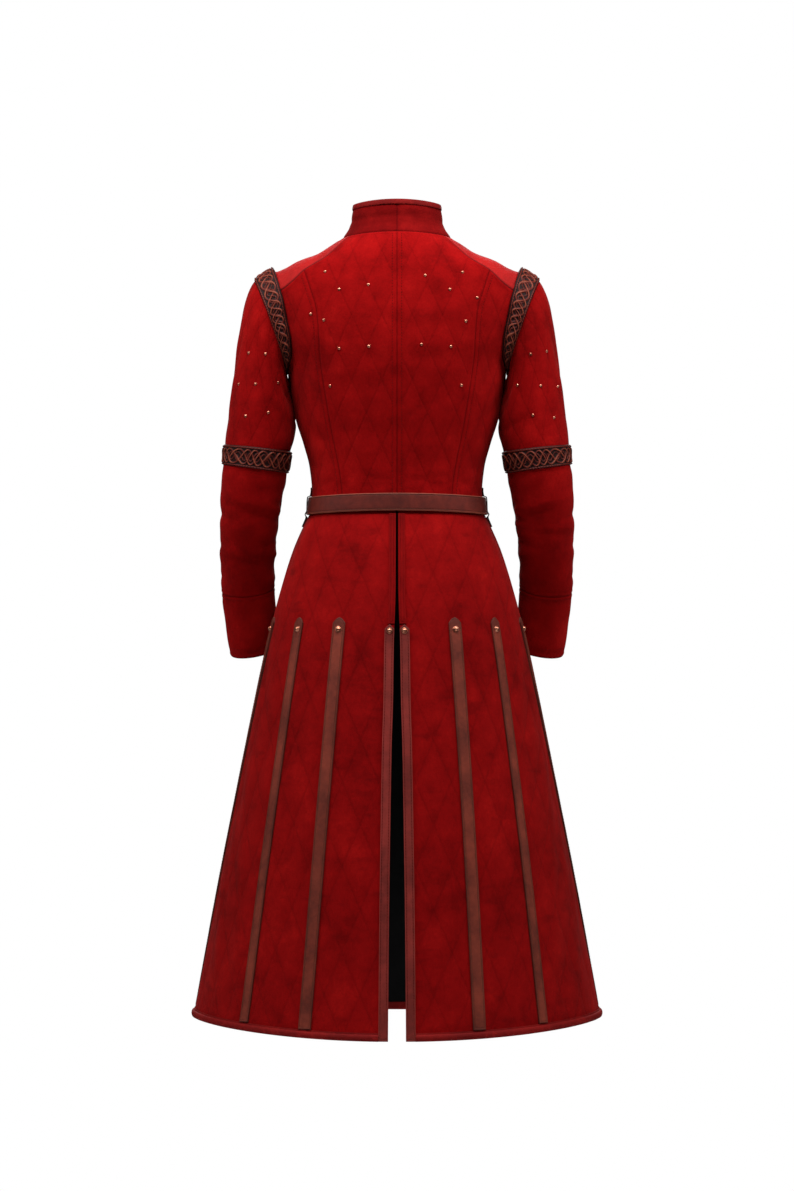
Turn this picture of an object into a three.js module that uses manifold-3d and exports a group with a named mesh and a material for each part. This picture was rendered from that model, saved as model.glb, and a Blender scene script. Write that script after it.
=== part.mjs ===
// A quilted gambeson: a long padded coat with a standing collar, leather-banded sleeves, a belt and a
// flared skirt with a back vent. It is worn and hollow, with nobody in it.
// Millimetres, +Z up. The origin is the middle of the neck, level with the tops of the shoulders.
// The back faces -Y, the wearer's left is -X. An angle named `turn` runs round the body in degrees,
// from the centre back (0) over the side (90) to the centre front (180).
import * as THREE from 'three';
import { mergeVertices } from 'three/addons/utils/BufferGeometryUtils.js';
import Module from 'manifold-3d';

const wasm = await Module();
wasm.setup();

// ---------------------------------------------------------------------------------------- sizes
const CLOTH = 4; // quilted suede, batting and lining, sewn through
const SEAM = 0.3; // gap left at every seam
const REST = 0.3; // gap under what lies on a panel
const WAIST_Z = -427; // the waist seam, under the belt
const ARMPIT_Z = -214;
const HEM_SIDE_Z = -1256; // lower edge of the skirt cloth at the side seams
const HEM_DROP = 16; // how much lower it hangs at the centre back and front

const YOKE_SAG = 7; // how far the yoke hollows between the neck and the shoulder
const NECK_HALF = 88; // the neckline is cut to this ellipse, seen from above
const NECK_DEPTH = 78;
const COLLAR_HALF = 70;
const COLLAR_DEPTH = 61.5;
const COLLAR_TOP = { back: 57, side: 51.5, front: 6 };

const LAP = 25; // how far each front passes the centre line
const LAP_LIFT = { waist: CLOTH + 0.8, hem: 10.5 }; // how far the left front lies over the right one
const LAP_FADE = { waist: [35, 95], hem: [95, 190] }; // where it comes down beside the centre line

const BAND_THICK = 4; // embossed armhole and elbow bands
const STRAP_THICK = 2.6;
const STRAP_TOP_Z = -614;
const RIVET_Z = -633;
const VENT_STRIP_WIDTH = 15;
const VENT_STRIP_THICK = 2.2;
const VENT_FACING_WIDTH = 10.5;
const VENT_FACING_THICK = 1.6;
const BINDING_WRAP = 11; // height of the rolled hem binding
const BELT_HEIGHT = 28.5;
const BELT_THICK = 3.2;
const BELT_STAND = 2.2; // the belt's inner face stands this far off the coat
const BELT_Z = -430; // the belt's middle at the centre back and front
const BELT_DROOP = 5.5; // how much lower it lies at the sides

// --------------------------------------------------------------------------------------- tables
// A table is rows of numbers under named columns.
function table(columns, rows) {
  return rows.map((row) => Object.fromEntries(columns.map((name, index) => [name, row[index]])));
}

// The body of the coat in level sections: half its width, how far the back and the front stand from
// the side line, and how square the section is (2 is an ellipse).
const bodySections = table(['z', 'half', 'back', 'front', 'square'], [
  [9, 75, 73, 34, 2.0],
  [5.5, 81, 78, 36, 2.0],
  [0, 88.5, 84, 41, 2.0],
  [-10, 106, 92, 47, 2.0],
  [-29, 148, 101, 61, 2.0],
  [-46, 191, 107, 78, 2.05],
  [-51, 202, 109, 82, 2.05],
  [-60, 211, 111, 87, 2.1],
  [-75, 216, 115, 96, 2.15],
  [-100, 215, 120, 107, 2.2],
  [-131, 206, 124, 117, 2.25],
  [-175, 191, 125, 125, 2.3],
  [-200, 180.5, 123, 128, 2.3],
  [-214, 177, 122, 128.5, 2.3],
  [-235, 175, 119, 128.5, 2.3],
  [-254, 172.2, 117, 127, 2.3],
  [-270, 168.6, 115, 126, 2.3],
  [-295, 163.4, 112, 123, 2.25],
  [-334, 151, 107, 118, 2.2],
  [-373, 141, 103, 114, 2.15],
  [-411, 137.5, 101, 112, 2.1],
  [-427, 139, 102, 113, 2.1],
  [-442, 139.5, 104, 114, 2.1],
  [-454, 145, 109.5, 117.5, 2.1],
  [-470, 153, 117, 122, 2.1],
  [-509, 169.5, 134, 136, 2.05],
  [-567, 187.5, 154, 152, 2.05],
  [-606, 198, 166, 163, 2.0],
  [-684, 215, 183, 179, 2.0],
  [-813, 241, 209, 204, 2.0],
  [-1008, 280, 243, 238, 2.0],
  [-1202, 318, 273, 267, 2.0],
  [-1290, 336, 287, 280, 2.0],
]);

// Where the armhole seam runs, seen from behind.
const armholeLine = table(['z', 'x'], [
  [-214, 177],
  [-209, 174],
  [-203, 171.5],
  [-190, 169],
  [-170, 170],
  [-150, 173],
  [-132, 177],
  [-108, 181.5],
  [-84, 188],
  [-68, 193],
  [-50, 199.5],
]);

// Where the princess seam runs, seen from behind.
const princessLine = table(['z', 'x'], [
  [-427, 88],
  [-408, 89],
  [-300, 108],
  [-191, 124],
  [-162, 125.5],
  [-122, 129],
  [-91, 138],
  [-57, 149],
]);

// The yoke seams behind and in front, between the neck and the armhole.
const yokeLines = table(['x', 'back', 'front'], [
  [75, -4, -12],
  [100, -23, -27],
  [117, -37, -40],
  [149, -57, -60],
  [168, -75, -77],
  [182, -86, -87],
  [195.5, -94, -94],
]);

// Half the open width of the back vent.
const ventLine = table(['z', 'open'], [
  [-1290, 14.2],
  [-1105, 12.8],
  [-943, 10.6],
  [-813, 8.4],
  [-748, 6.4],
  [-659, 5.1],
  [-567, 2.3],
  [-457, 1.9],
  [-427, 1.2],
]);

// The right sleeve in rings: its outermost and innermost point in each, half its depth, how far
// forward it lies, and how the ring tips with the bent forearm, in degrees.
const sleeveRings = table(['name', 'outX', 'outZ', 'inX', 'inZ', 'depth', 'forward', 'tip'], [
  ['armhole', 202, -52, 177, -214, 60, 0, 0],
  ['band middle', 216, -60, 183.4, -219, 62, 0, 0],
  ['band edge', 231, -71, 181.3, -225, 63, 0, 0],
  ['head', 246.5, -106, 174.8, -236, 65, 0, 0],
  ['upper arm', 256, -160, 170, -265, 66, 0, 0],
  ['upper arm', 265.5, -228, 164.5, -292, 65, 0, 0],
  ['upper arm', 273.5, -293, 166.4, -321, 63, 0, 0],
  ['elbow top', 278.5, -335, 173, -346, 61, 0, 0],
  ['elbow seam', 279.5, -351, 175.5, -364, 60, 0, 0],
  ['elbow bottom', 280.5, -367, 179, -381, 59, 0, 1],
  ['crest', 283.5, -383, 180.5, -396, 58, 2, 2],
  ['trough', 284.5, -402, 185, -414, 56, 5, 3],
  ['crest', 286.5, -423, 187, -433, 55, 9, 5],
  ['trough', 286, -443, 191.5, -452, 53, 15, 6],
  ['crest', 288, -465, 192.5, -471, 52, 21, 8],
  ['trough', 287, -486, 196.5, -490, 50, 28, 9],
  ['crest', 288.5, -509, 196.5, -510, 49, 36, 11],
  ['trough', 287, -531, 200, -530, 47, 45, 12],
  ['crest', 287.5, -552, 199, -549, 46, 54, 14],
  ['cuff seam', 286, -574, 200, -566, 44, 62, 15],
  ['cuff', 281, -622, 197, -612, 43, 81, 16],
  ['cuff hem', 273.5, -676, 192, -662, 42, 100, 16],
]);

// A smooth curve through one column of a table against another, with no overshoot.
function follow(rows, along, column) {
  const xs = rows.map((row) => row[along]);
  const ys = rows.map((row) => row[column]);
  const last = xs.length - 1;
  const rising = xs[last] > xs[0];
  const steepness = (i) => (ys[i + 1] - ys[i]) / (xs[i + 1] - xs[i]);
  const slopes = xs.map((_, i) => {
    if (i === 0) return steepness(0);
    if (i === last) return steepness(last - 1);
    const before = steepness(i - 1);
    const after = steepness(i);
    return before * after <= 0 ? 0 : (2 * before * after) / (before + after);
  });
  return (x) => {
    let i = 0;
    while (i < last - 1 && (rising ? x > xs[i + 1] : x < xs[i + 1])) i += 1;
    const span = xs[i + 1] - xs[i];
    const t = THREE.MathUtils.clamp((x - xs[i]) / span, 0, 1);
    const u = 1 - t;
    return ys[i] * u * u * (1 + 2 * t) + ys[i + 1] * t * t * (3 - 2 * t)
      + span * (slopes[i] * t * u * u - slopes[i + 1] * t * t * u);
  };
}

// ----------------------------------------------------------------------------- the coat's surface
const halfAt = follow(bodySections, 'z', 'half');
const backAt = follow(bodySections, 'z', 'back');
const frontAt = follow(bodySections, 'z', 'front');
const squareAt = follow(bodySections, 'z', 'square');
const armholeX = follow(armholeLine, 'z', 'x');
const princessX = follow(princessLine, 'z', 'x');
const yokeBackZ = follow(yokeLines, 'x', 'back');
const yokeFrontZ = follow(yokeLines, 'x', 'front');
const ventOpen = follow(ventLine, 'z', 'open');

const radians = THREE.MathUtils.degToRad;
const degrees = THREE.MathUtils.radToDeg;
const mix = THREE.MathUtils.lerp;
const smooth = THREE.MathUtils.smoothstep;
const vector = (x, y, z) => new THREE.Vector3(x, y, z);
const signedPower = (value, power) => Math.sign(value) * Math.abs(value) ** power;

// The place on the coat at a turn round the body and a height.
function bodyPlace(turn, z) {
  const sine = Math.sin(radians(turn));
  const cosine = Math.cos(radians(turn));
  const power = 2 / squareAt(z);
  const depth = cosine > 0 ? backAt(z) : frontAt(z);
  return vector(halfAt(z) * signedPower(sine, power), -depth * signedPower(cosine, power), z);
}

// The outward direction there, from the steps to places just beside it.
function bodyOut(turn, z) {
  const side = bodyPlace(turn + 1.5, z).sub(bodyPlace(turn - 1.5, z));
  const up = bodyPlace(turn, z + 2).sub(bodyPlace(turn, z - 2));
  return side.cross(up).normalize();
}

// A cloth point: where it is, which way is outward, and its turn and height where it has them.
function bodyPoint(turn, z) {
  return { place: bodyPlace(turn, z), out: bodyOut(turn, z), turn, z };
}

// The turn at which a level section reaches a given distance from the middle.
function turnAt(x, z, front = false) {
  const reach = Math.min(Math.abs(x) / halfAt(z), 1);
  const turn = Math.sign(x) * degrees(Math.asin(reach ** (squareAt(z) / 2)));
  return front ? 180 - turn : turn;
}

function hemZ(turn) {
  return HEM_SIDE_Z - HEM_DROP * Math.cos(radians(turn)) ** 2;
}

const steps = (count) => Array.from({ length: count + 1 }, (_, i) => i / count);
const span = (from, to, count) => steps(count).map((t) => mix(from, to, t));
const mirrored = (point) => ({
  ...point,
  place: point.place.clone().multiply(vector(-1, 1, 1)),
  out: point.out.clone().multiply(vector(-1, 1, 1)),
});
const mirrorGrid = (grid) => grid.map((row) => row.map(mirrored));
const raised = (point, height) => ({
  ...point,
  place: point.place.clone().addScaledVector(point.out, height),
});

// How far the lapped front stands out, at a distance from the centre line on its own side.
function lapLift(x, z) {
  const low = THREE.MathUtils.clamp((WAIST_Z - z) / (WAIST_Z - HEM_SIDE_Z), 0, 1);
  const from = mix(LAP_FADE.waist[0], LAP_FADE.hem[0], low);
  const to = mix(LAP_FADE.waist[1], LAP_FADE.hem[1], low);
  return mix(LAP_LIFT.waist, LAP_LIFT.hem, low) * (1 - smooth(x, from, to));
}
function liftLap(point) {
  if (point.place.y <= 0) return point;
  const level = point.out.clone().setZ(0).normalize();
  const lift = lapLift(point.place.x, point.place.z) / level.dot(point.out);
  return { ...point, place: point.place.clone().addScaledVector(level, lift) };
}
const liftGrid = (grid) => grid.map((row) => row.map(liftLap));

// -------------------------------------------------------------------------------------- seams
const ROWS_SIDE = 4; // rows between the waist and the armpit
const WAIST_ROW = 21; // the first row above the waist is this high
const ARMHOLE_POINTS = 18;
const YOKE_CORNER = 3; // the yoke meets the armhole this many points either side of its top
const ROWS = ROWS_SIDE + ARMHOLE_POINTS / 2 - YOKE_CORNER;
const NECK_BACK = 4;
const NECK_YOKE = 6;
const NECK_FRONT = 5;
const YOKE_NECK_BACK = 62; // turns round the neck where the yoke starts and stops
const YOKE_NECK_FRONT = 112;

// The armhole seam, from its top over the back, under the arm and up the front.
const armhole = Array.from({ length: ARMHOLE_POINTS }, (_, k) => {
  const angle = (2 * Math.PI * k) / ARMHOLE_POINTS;
  const z = mix(ARMPIT_Z, armholeLine.at(-1).z, (1 + Math.cos(angle)) / 2);
  const turn = turnAt(armholeX(z), z, k > ARMHOLE_POINTS / 2);
  return bodyPoint(turn, z);
});

// The collar's outward lean at its base, against which the neckline's wall is mitred.
const COLLAR_LEAN = 0.45;

// The neckline: the coat's surface cut by an upright elliptical tube.
function neckPoint(angle) {
  const x = NECK_HALF * Math.sin(radians(angle));
  const y = -NECK_DEPTH * Math.cos(radians(angle));
  let low = -80;
  let high = 14;
  for (let i = 0; i < 40; i += 1) {
    const z = (low + high) / 2;
    const depth = y < 0 ? backAt(z) : frontAt(z);
    const beyond = (Math.abs(x) / halfAt(z)) ** squareAt(z) + (Math.abs(y) / depth) ** squareAt(z) > 1;
    if (beyond) high = z;
    else low = z;
  }
  const point = bodyPoint(turnAt(x, low, y > 0), low);
  const outward = vector(x / NECK_HALF ** 2, y / NECK_DEPTH ** 2, 0).normalize();
  point.out.add(outward).add(vector(0, 0, COLLAR_LEAN)).normalize();
  return point;
}
const neckLap = degrees(Math.asin(LAP / NECK_HALF));
const neckBack = span(0, YOKE_NECK_BACK, NECK_BACK).map(neckPoint);
const neckYoke = span(YOKE_NECK_BACK, YOKE_NECK_FRONT, NECK_YOKE).map(neckPoint);
// In front the points match on both sides of the centre line, as far out as the fronts lap.
const neckFrontAngles = [...span(YOKE_NECK_FRONT, 180 - neckLap, NECK_FRONT - 1), 180];
const neckFront = neckFrontAngles.map(neckPoint);
const neckEnd = neckPoint(180 + neckLap);

// Heights from the waist up, the first of them close above it.
const fromWaist = (to, count) => [WAIST_Z, ...span(WAIST_Z + WAIST_ROW, to, count - 1)];
const princess = fromWaist(yokeBackZ(149), ROWS).map((z) => bodyPoint(turnAt(princessX(z), z), z));
const sideSeam = fromWaist(ARMPIT_Z, ROWS_SIDE).map((z) => bodyPoint(90, z));

// A yoke seam runs from the neck past the head of the princess seam to the armhole.
const YOKE_STOPS = [100, 124, 149, 165, 180];
function yokeSeam(start, end, front) {
  const height = front ? yokeFrontZ : yokeBackZ;
  const inner = YOKE_STOPS.map((x) => bodyPoint(turnAt(x, height(x), front), height(x)));
  return [start, ...inner, end];
}
const yokeBack = yokeSeam(neckYoke[0], armhole[YOKE_CORNER], false);
const yokeFront = yokeSeam(neckYoke.at(-1), armhole[ARMHOLE_POINTS - YOKE_CORNER], true);
const PRINCESS_STOP = 3; // which point of the back yoke seam is the head of the princess seam
princess[ROWS] = yokeBack[PRINCESS_STOP];

const backEdge = [...princess, ...yokeBack.slice(0, PRINCESS_STOP).reverse()];
const centreBack = fromWaist(neckBack[0].z, backEdge.length - 1).map((z) => bodyPoint(0, z));

// ------------------------------------------------------------------------------------- sleeves
// A point on a sleeve ring. Its angle runs from the outer side over the back and the inner side.
function ringPlace(ring, angle) {
  const outer = vector(ring.outX, ring.forward, ring.outZ);
  const inner = vector(ring.inX, ring.forward, ring.inZ);
  const tip = radians(ring.tip);
  const middle = outer.clone().lerp(inner, 0.5);
  const across = outer.sub(inner).multiplyScalar(Math.cos(angle) / 2);
  const deep = vector(0, -Math.cos(tip), -Math.sin(tip)).multiplyScalar(ring.depth * Math.sin(angle));
  return middle.add(across).add(deep);
}

// The first ring is the armhole seam itself, and its shape fades out of the next ones.
const ARMHOLE_FADE = [1, 0.75, 0.5, 0.2];
const sleevePlaces = sleeveRings.map((ring, i) => armhole.map((seam, k) => {
  const angle = (2 * Math.PI * k) / ARMHOLE_POINTS;
  const own = seam.place.clone().sub(ringPlace(sleeveRings[0], angle));
  return ringPlace(ring, angle).addScaledVector(own, ARMHOLE_FADE[i] ?? 0);
}));
const sleeve = sleevePlaces.map((row, i) => row.map((place, k) => {
  const next = sleevePlaces[Math.min(i + 1, sleevePlaces.length - 1)][k];
  const previous = sleevePlaces[Math.max(i - 1, 0)][k];
  const ahead = row[(k + 1) % ARMHOLE_POINTS];
  const behind = row[(k + ARMHOLE_POINTS - 1) % ARMHOLE_POINTS];
  const out = ahead.clone().sub(behind).cross(next.clone().sub(previous)).normalize();
  return { place, out };
}));
// At the armhole the sleeve's wall and the body's wall share one mitre.
armhole.forEach((seam, k) => {
  seam.out.add(sleeve[0][k].out).normalize();
  sleeve[0][k].out = seam.out.clone();
});

// ------------------------------------------------------------------------------------- surfaces
// A patch stretched between four seams, in turn and height, then laid on the coat. `left` and
// `right` run up, `bottom` and `top` run across, and the seams' own points stay as they are.
function bodyPatch(bottom, top, left, right) {
  const rows = left.length - 1;
  const columns = bottom.length - 1;
  return left.map((_, i) => bottom.map((__, j) => {
    if (j === 0) return left[i];
    if (j === columns) return right[i];
    if (i === rows) return top[j];
    if (i === 0) return bottom[j];
    const v = i / rows;
    const u = j / columns;
    const blend = (key) => mix(bottom[j][key], top[j][key], v) + mix(left[i][key], right[i][key], u)
      - mix(mix(bottom[0][key], bottom[columns][key], u), mix(top[0][key], top[columns][key], u), v);
    return bodyPoint(blend('turn'), blend('z'));
  }));
}

// A patch stretched between four seams in space, with its outward directions from its own points.
// Along `bottom` and `top` those directions are shared with the neighbours, halfway between both.
function spacePatch(bottom, top, left, right) {
  const rows = left.length - 1;
  const columns = bottom.length - 1;
  const reach = (j) => bottom[j].place.distanceTo(bottom[0].place);
  const places = left.map((_, i) => bottom.map((__, j) => {
    const v = i / rows;
    const u = reach(j) / reach(columns);
    const across = bottom[j].place.clone().lerp(top[j].place, v);
    const along = left[i].place.clone().lerp(right[i].place, u);
    const low = bottom[0].place.clone().lerp(bottom[columns].place, u);
    const high = top[0].place.clone().lerp(top[columns].place, u);
    const sag = -YOKE_SAG * Math.sin(Math.PI * u) * Math.sin(Math.PI * v);
    return across.add(along).sub(low.lerp(high, v)).add(vector(0, 0, sag));
  }));
  const outAt = (i, j) => {
    const across = places[i][Math.min(j + 1, columns)].clone().sub(places[i][Math.max(j - 1, 0)]);
    const along = places[Math.min(i + 1, rows)][j].clone().sub(places[Math.max(i - 1, 0)][j]);
    const out = across.cross(along).normalize();
    return out.z < 0 ? out.negate() : out;
  };
  for (let j = 1; j < columns; j += 1) {
    bottom[j].out.add(outAt(0, j)).normalize();
    top[j].out.add(outAt(rows, j)).normalize();
  }
  return places.map((row, i) => row.map((place, j) => {
    if (i === 0) return bottom[j];
    if (i === rows) return top[j];
    if (j === 0) return left[i];
    if (j === columns) return right[i];
    return { place, out: outAt(i, j) };
  }));
}

// The yoke comes first: its wall and the walls of the panels below it share one mitre at the seams.
const armholeTop = span(YOKE_CORNER, -YOKE_CORNER, 2 * YOKE_CORNER).map((k) => armhole.at(k));
const yoke = spacePatch(yokeBack, yokeFront, neckYoke, armholeTop);

// ---------------------------------------------------------------------------------------- solids
// A closed geometry from points and triangles, turned outward.
function closedGeometry(points, triangles) {
  let volume = 0;
  for (const [a, b, c] of triangles) volume += points[a].dot(points[b].clone().cross(points[c]));
  const faces = volume < 0 ? triangles.map(([a, b, c]) => [a, c, b]) : triangles;
  const geometry = new THREE.BufferGeometry();
  geometry.setAttribute('position', new THREE.Float32BufferAttribute(points.flatMap((p) => p.toArray()), 3));
  geometry.setIndex(faces.flat());
  geometry.computeVertexNormals();
  return geometry;
}

// A point moved a distance straight towards another.
function pulled(point, towards, distance) {
  const way = towards.place.clone().sub(point.place).setLength(distance);
  return { ...point, place: point.place.clone().add(way) };
}

// Draws the edges of a grid in by half a seam gap, along the cloth.
function trimmed(grid, gap, around) {
  const rows = grid.length - 1;
  const pull = (point, towards) => pulled(point, towards, gap);
  const ends = grid.map((row, i) => {
    if (i === 0) return row.map((point, j) => pull(point, grid[1][j]));
    if (i === rows) return row.map((point, j) => pull(point, grid[rows - 1][j]));
    return row;
  });
  if (around) return ends;
  return ends.map((row) => {
    const last = row.length - 1;
    return row.map((point, j) => {
      if (j === 0) return pull(point, row[1]);
      if (j === last) return pull(point, row[last - 1]);
      return point;
    });
  });
}

// A wall on a grid of cloth points, between two heights above it. `around` closes it into a tube.
function wall(grid, inner, outer, { around = false, gap = SEAM / 2 } = {}) {
  const cut = trimmed(grid, gap, around);
  const rows = cut.length;
  const columns = cut[0].length;
  const face = (height) => cut.flatMap((row) => row.map((point) => raised(point, height).place));
  const points = [...face(outer), ...face(inner)];
  const under = rows * columns;
  const index = (i, j) => i * columns + (j % columns);
  const triangles = [];
  const quad = (a, b, c, d) => triangles.push([a, b, c], [a, c, d]);
  const lastColumn = around ? columns : columns - 1;
  for (let i = 0; i < rows - 1; i += 1) {
    for (let j = 0; j < lastColumn; j += 1) {
      const [a, b, c, d] = [index(i, j), index(i, j + 1), index(i + 1, j + 1), index(i + 1, j)];
      quad(a, b, c, d);
      triangles.push([under + c, under + b, under + a], [under + d, under + c, under + a]);
    }
    if (!around) {
      quad(index(i, 0), index(i + 1, 0), under + index(i + 1, 0), under + index(i, 0));
      const j = columns - 1;
      quad(index(i + 1, j), index(i, j), under + index(i, j), under + index(i + 1, j));
    }
  }
  for (let j = 0; j < lastColumn; j += 1) {
    const i = rows - 1;
    quad(index(0, j + 1), index(0, j), under + index(0, j), under + index(0, j + 1));
    quad(index(i, j), index(i, j + 1), under + index(i, j + 1), under + index(i, j));
  }
  return closedGeometry(points, triangles);
}

const cloth = (grid, options) => wall(grid, -CLOTH, 0, options);
const laidOn = (grid, thick, options) => wall(grid, REST, REST + thick, options);

// A bar of one section carried along a line of points. Each corner of the section lies so far out
// from the line and so far past it, in the direction that `past` gives for a point.
function bar(line, section, past, closed = false) {
  const points = line.flatMap((point, i) => section.map((corner) => point.place.clone()
    .addScaledVector(point.out, corner.out)
    .addScaledVector(past(i), corner.past)));
  const sides = section.length;
  const triangles = [];
  const laps = closed ? line.length : line.length - 1;
  for (let i = 0; i < laps; i += 1) {
    const near = i * sides;
    const far = ((i + 1) % line.length) * sides;
    for (let k = 0; k < sides; k += 1) {
      const next = (k + 1) % sides;
      triangles.push([near + k, near + next, far + next], [near + k, far + next, far + k]);
    }
  }
  if (!closed) {
    const outline = section.map((corner) => new THREE.Vector2(corner.out, corner.past));
    const far = (line.length - 1) * sides;
    for (const [a, b, c] of THREE.ShapeUtils.triangulateShape(outline, [])) {
      triangles.push([c, b, a], [far + a, far + b, far + c]);
    }
  }
  return closedGeometry(points, triangles);
}

// The way a panel runs on past its last row.
const onward = (grid) => (i) => grid.at(-1)[i].place.clone().sub(grid.at(-2)[i].place).normalize();

// A strip rolled round the edge of a panel: it stands proud on the outside, and a little inside.
const BINDING_INSIDE = 1;
const bindingSection = (proud, height) => table(['out', 'past'], [
  [REST, -height],
  [proud, -height + 1.5],
  [proud + 0.5, -height / 2],
  [proud, 0.6],
  [proud / 2, 2.2],
  [-CLOTH, 2.2],
  [-CLOTH - BINDING_INSIDE, 0.6],
  [-CLOTH - BINDING_INSIDE, -height],
  [-CLOTH - REST, -height],
  [-CLOTH - REST, REST],
  [REST, REST],
]);

// ------------------------------------------------------------------------------------- materials
const material = (color, roughness, metalness = 0) => (
  new THREE.MeshStandardMaterial({ color, roughness, metalness }));
const suede = material(0x7d0508, 0.95);
const yokeLeather = material(0xa32424, 0.55);
const bandLeather = material(0x4a1d17, 0.6);
const strapLeather = material(0x5a281e, 0.5);
const stripLeather = material(0x6e2828, 0.55);
const beltLeather = material(0x4b1c14, 0.45);
const copper = material(0xc89678, 0.35, 1);
const steel = material(0x8a7a66, 0.4, 1);

const coat = new THREE.Group();
function add(name, geometry, finish) {
  const mesh = new THREE.Mesh(geometry, finish);
  mesh.name = name;
  coat.add(mesh);
  return mesh;
}

// Adds a piece of the right half and its mirrored twin, which a lapped piece lifts over it.
function addPair(name, grid, build, finish, lapped = false) {
  const twin = lapped ? liftGrid(grid) : grid;
  add(`${name}_right`, build(grid), finish);
  add(`${name}_left`, build(mirrorGrid(twin)), finish);
}

// --------------------------------------------------------------------------------------- bodice
const waistRun = (turns) => turns.map((turn) => bodyPoint(turn, WAIST_Z));
const princessTurn = princess[0].turn;
const lapTurnAt = (z) => turnAt(-LAP, z, true);

const back = bodyPatch(waistRun(span(0, princessTurn, NECK_BACK)), neckBack, centreBack, backEdge);

const sideTop = yokeBack.slice(PRINCESS_STOP);
const armpit = armhole[ARMHOLE_POINTS / 2];
const sideLow = sideSeam.slice(0, ROWS_SIDE);
const armholeBack = armhole.slice(YOKE_CORNER, ARMHOLE_POINTS / 2).reverse();
const sideWaist = waistRun(span(princessTurn, 90, sideTop.length - 1));
const sideBack = bodyPatch(sideWaist, sideTop, princess, [...sideLow, armpit, ...armholeBack]);

const armholeFront = armhole.slice(ARMHOLE_POINTS / 2 + 1, ARMHOLE_POINTS - YOKE_CORNER);
const frontEdge = [...sideLow, armpit, ...armholeFront, ...yokeFront.slice().reverse()];
const waistLap = lapTurnAt(WAIST_Z) - 180;
const frontWaist = waistRun([...span(90, 180 - waistLap, NECK_FRONT - 1), 180, 180 + waistLap]);
const lapEdge = fromWaist(neckEnd.z, frontEdge.length - 1).map((z) => bodyPoint(lapTurnAt(z), z));
const front = bodyPatch(frontWaist, [...neckFront, neckEnd], frontEdge, lapEdge);

addPair('back', back, cloth, suede);
addPair('side_back', sideBack, cloth, suede);
addPair('yoke', yoke, (grid) => cloth(grid, { gap: SEAM * 1.6 }), yokeLeather);
addPair('front', front, cloth, suede, true);

// --------------------------------------------------------------------------------------- collar
// The collar rises from the neckline and draws in towards its sloping top.
const collarBase = [...neckBack, ...neckYoke.slice(1), ...neckFront.slice(1)];
const collarAngles = [
  ...span(0, YOKE_NECK_BACK, NECK_BACK),
  ...span(YOKE_NECK_BACK, YOKE_NECK_FRONT, NECK_YOKE).slice(1),
  ...neckFrontAngles.slice(1),
];
const collarRows = table(['up', 'draw'], [
  [0, 0],
  [0.28, 0.58],
  [0.6, 0.79],
  [1, 1],
]);
const COLLAR_TAPER = 0.19; // how steeply its wall leans in
const collarTopZ = (angle) => {
  const cosine = Math.cos(radians(angle));
  const end = cosine > 0 ? COLLAR_TOP.back : COLLAR_TOP.front;
  return mix(COLLAR_TOP.side, end, cosine * cosine);
};
function collarPoint(base, angle, row) {
  const sine = Math.sin(radians(angle));
  const cosine = Math.cos(radians(angle));
  const place = vector(
    mix(NECK_HALF, COLLAR_HALF, row.draw) * sine,
    -mix(NECK_DEPTH, COLLAR_DEPTH, row.draw) * cosine,
    mix(base.z + SEAM, collarTopZ(angle), row.up),
  );
  const lean = row.up === 0 ? base.out.z / Math.hypot(base.out.x, base.out.y) : COLLAR_TAPER;
  const out = vector(sine / COLLAR_HALF, -cosine / COLLAR_DEPTH, 0).normalize();
  out.z = lean;
  return { place, out: out.normalize() };
}
const collarHalf = collarRows.map((row) => (
  collarBase.map((base, j) => collarPoint(base, collarAngles[j], row))));
const collar = collarHalf.map((row) => [...row.map(mirrored).reverse(), ...row.slice(1)]);
const collarEdge = trimmed(collar, SEAM / 2, false).at(-1);
add('collar', cloth(collar), suede);
add('collar_binding', bar(collarEdge, bindingSection(1.3, 7), onward(collar)), stripLeather);

// -------------------------------------------------------------------------------------- sleeves
const ringNamed = (name) => sleeveRings.findIndex((ring) => ring.name === name);
const rings = (from, to) => sleeve.slice(ringNamed(from), ringNamed(to) + 1);
const tube = (grid) => cloth(grid, { around: true });
const bandOn = (grid) => laidOn(grid, BAND_THICK, { around: true });
addPair('upper_sleeve', rings('armhole', 'elbow seam'), tube, suede);
addPair('lower_sleeve', rings('elbow seam', 'cuff seam'), tube, suede);
addPair('cuff', rings('cuff seam', 'cuff hem'), tube, suede);
addPair('armhole_band', rings('armhole', 'band edge'), bandOn, bandLeather);
addPair('elbow_band', rings('elbow top', 'elbow bottom'), bandOn, bandLeather);

// ---------------------------------------------------------------------------------------- skirt
// How far down the skirt its rows lie: closer at the waist, where it flares out in a curve.
const SKIRT_ROWS = [0, 0.026, 0.065, 0.13, 0.22, 0.34, 0.49, 0.65, 0.82, 1];
const BACK_COLUMNS = 7;
const FRONT_COLUMNS = 8;
const ventTurn = (z) => turnAt(ventOpen(z), z);
const skirtZ = (t, turn) => mix(WAIST_Z, hemZ(turn), t);

// A skirt panel between two edges, each a turn at a height.
function skirtPanel(edgeFrom, edgeTo, columns) {
  return SKIRT_ROWS.map((t) => {
    const level = skirtZ(t, 0);
    const turns = span(edgeFrom(level), edgeTo(level), columns);
    if (edgeTo === lapTurnAt) turns.splice(columns, 1, 180, edgeTo(level));
    return turns.map((turn) => bodyPoint(turn, skirtZ(t, turn)));
  });
}
const sideTurn = () => 90;
const skirtBack = skirtPanel(ventTurn, sideTurn, BACK_COLUMNS);
const skirtFront = skirtPanel(sideTurn, lapTurnAt, FRONT_COLUMNS);
addPair('skirt_back', skirtBack, cloth, suede);
addPair('skirt_front', skirtFront, cloth, suede, true);

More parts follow.
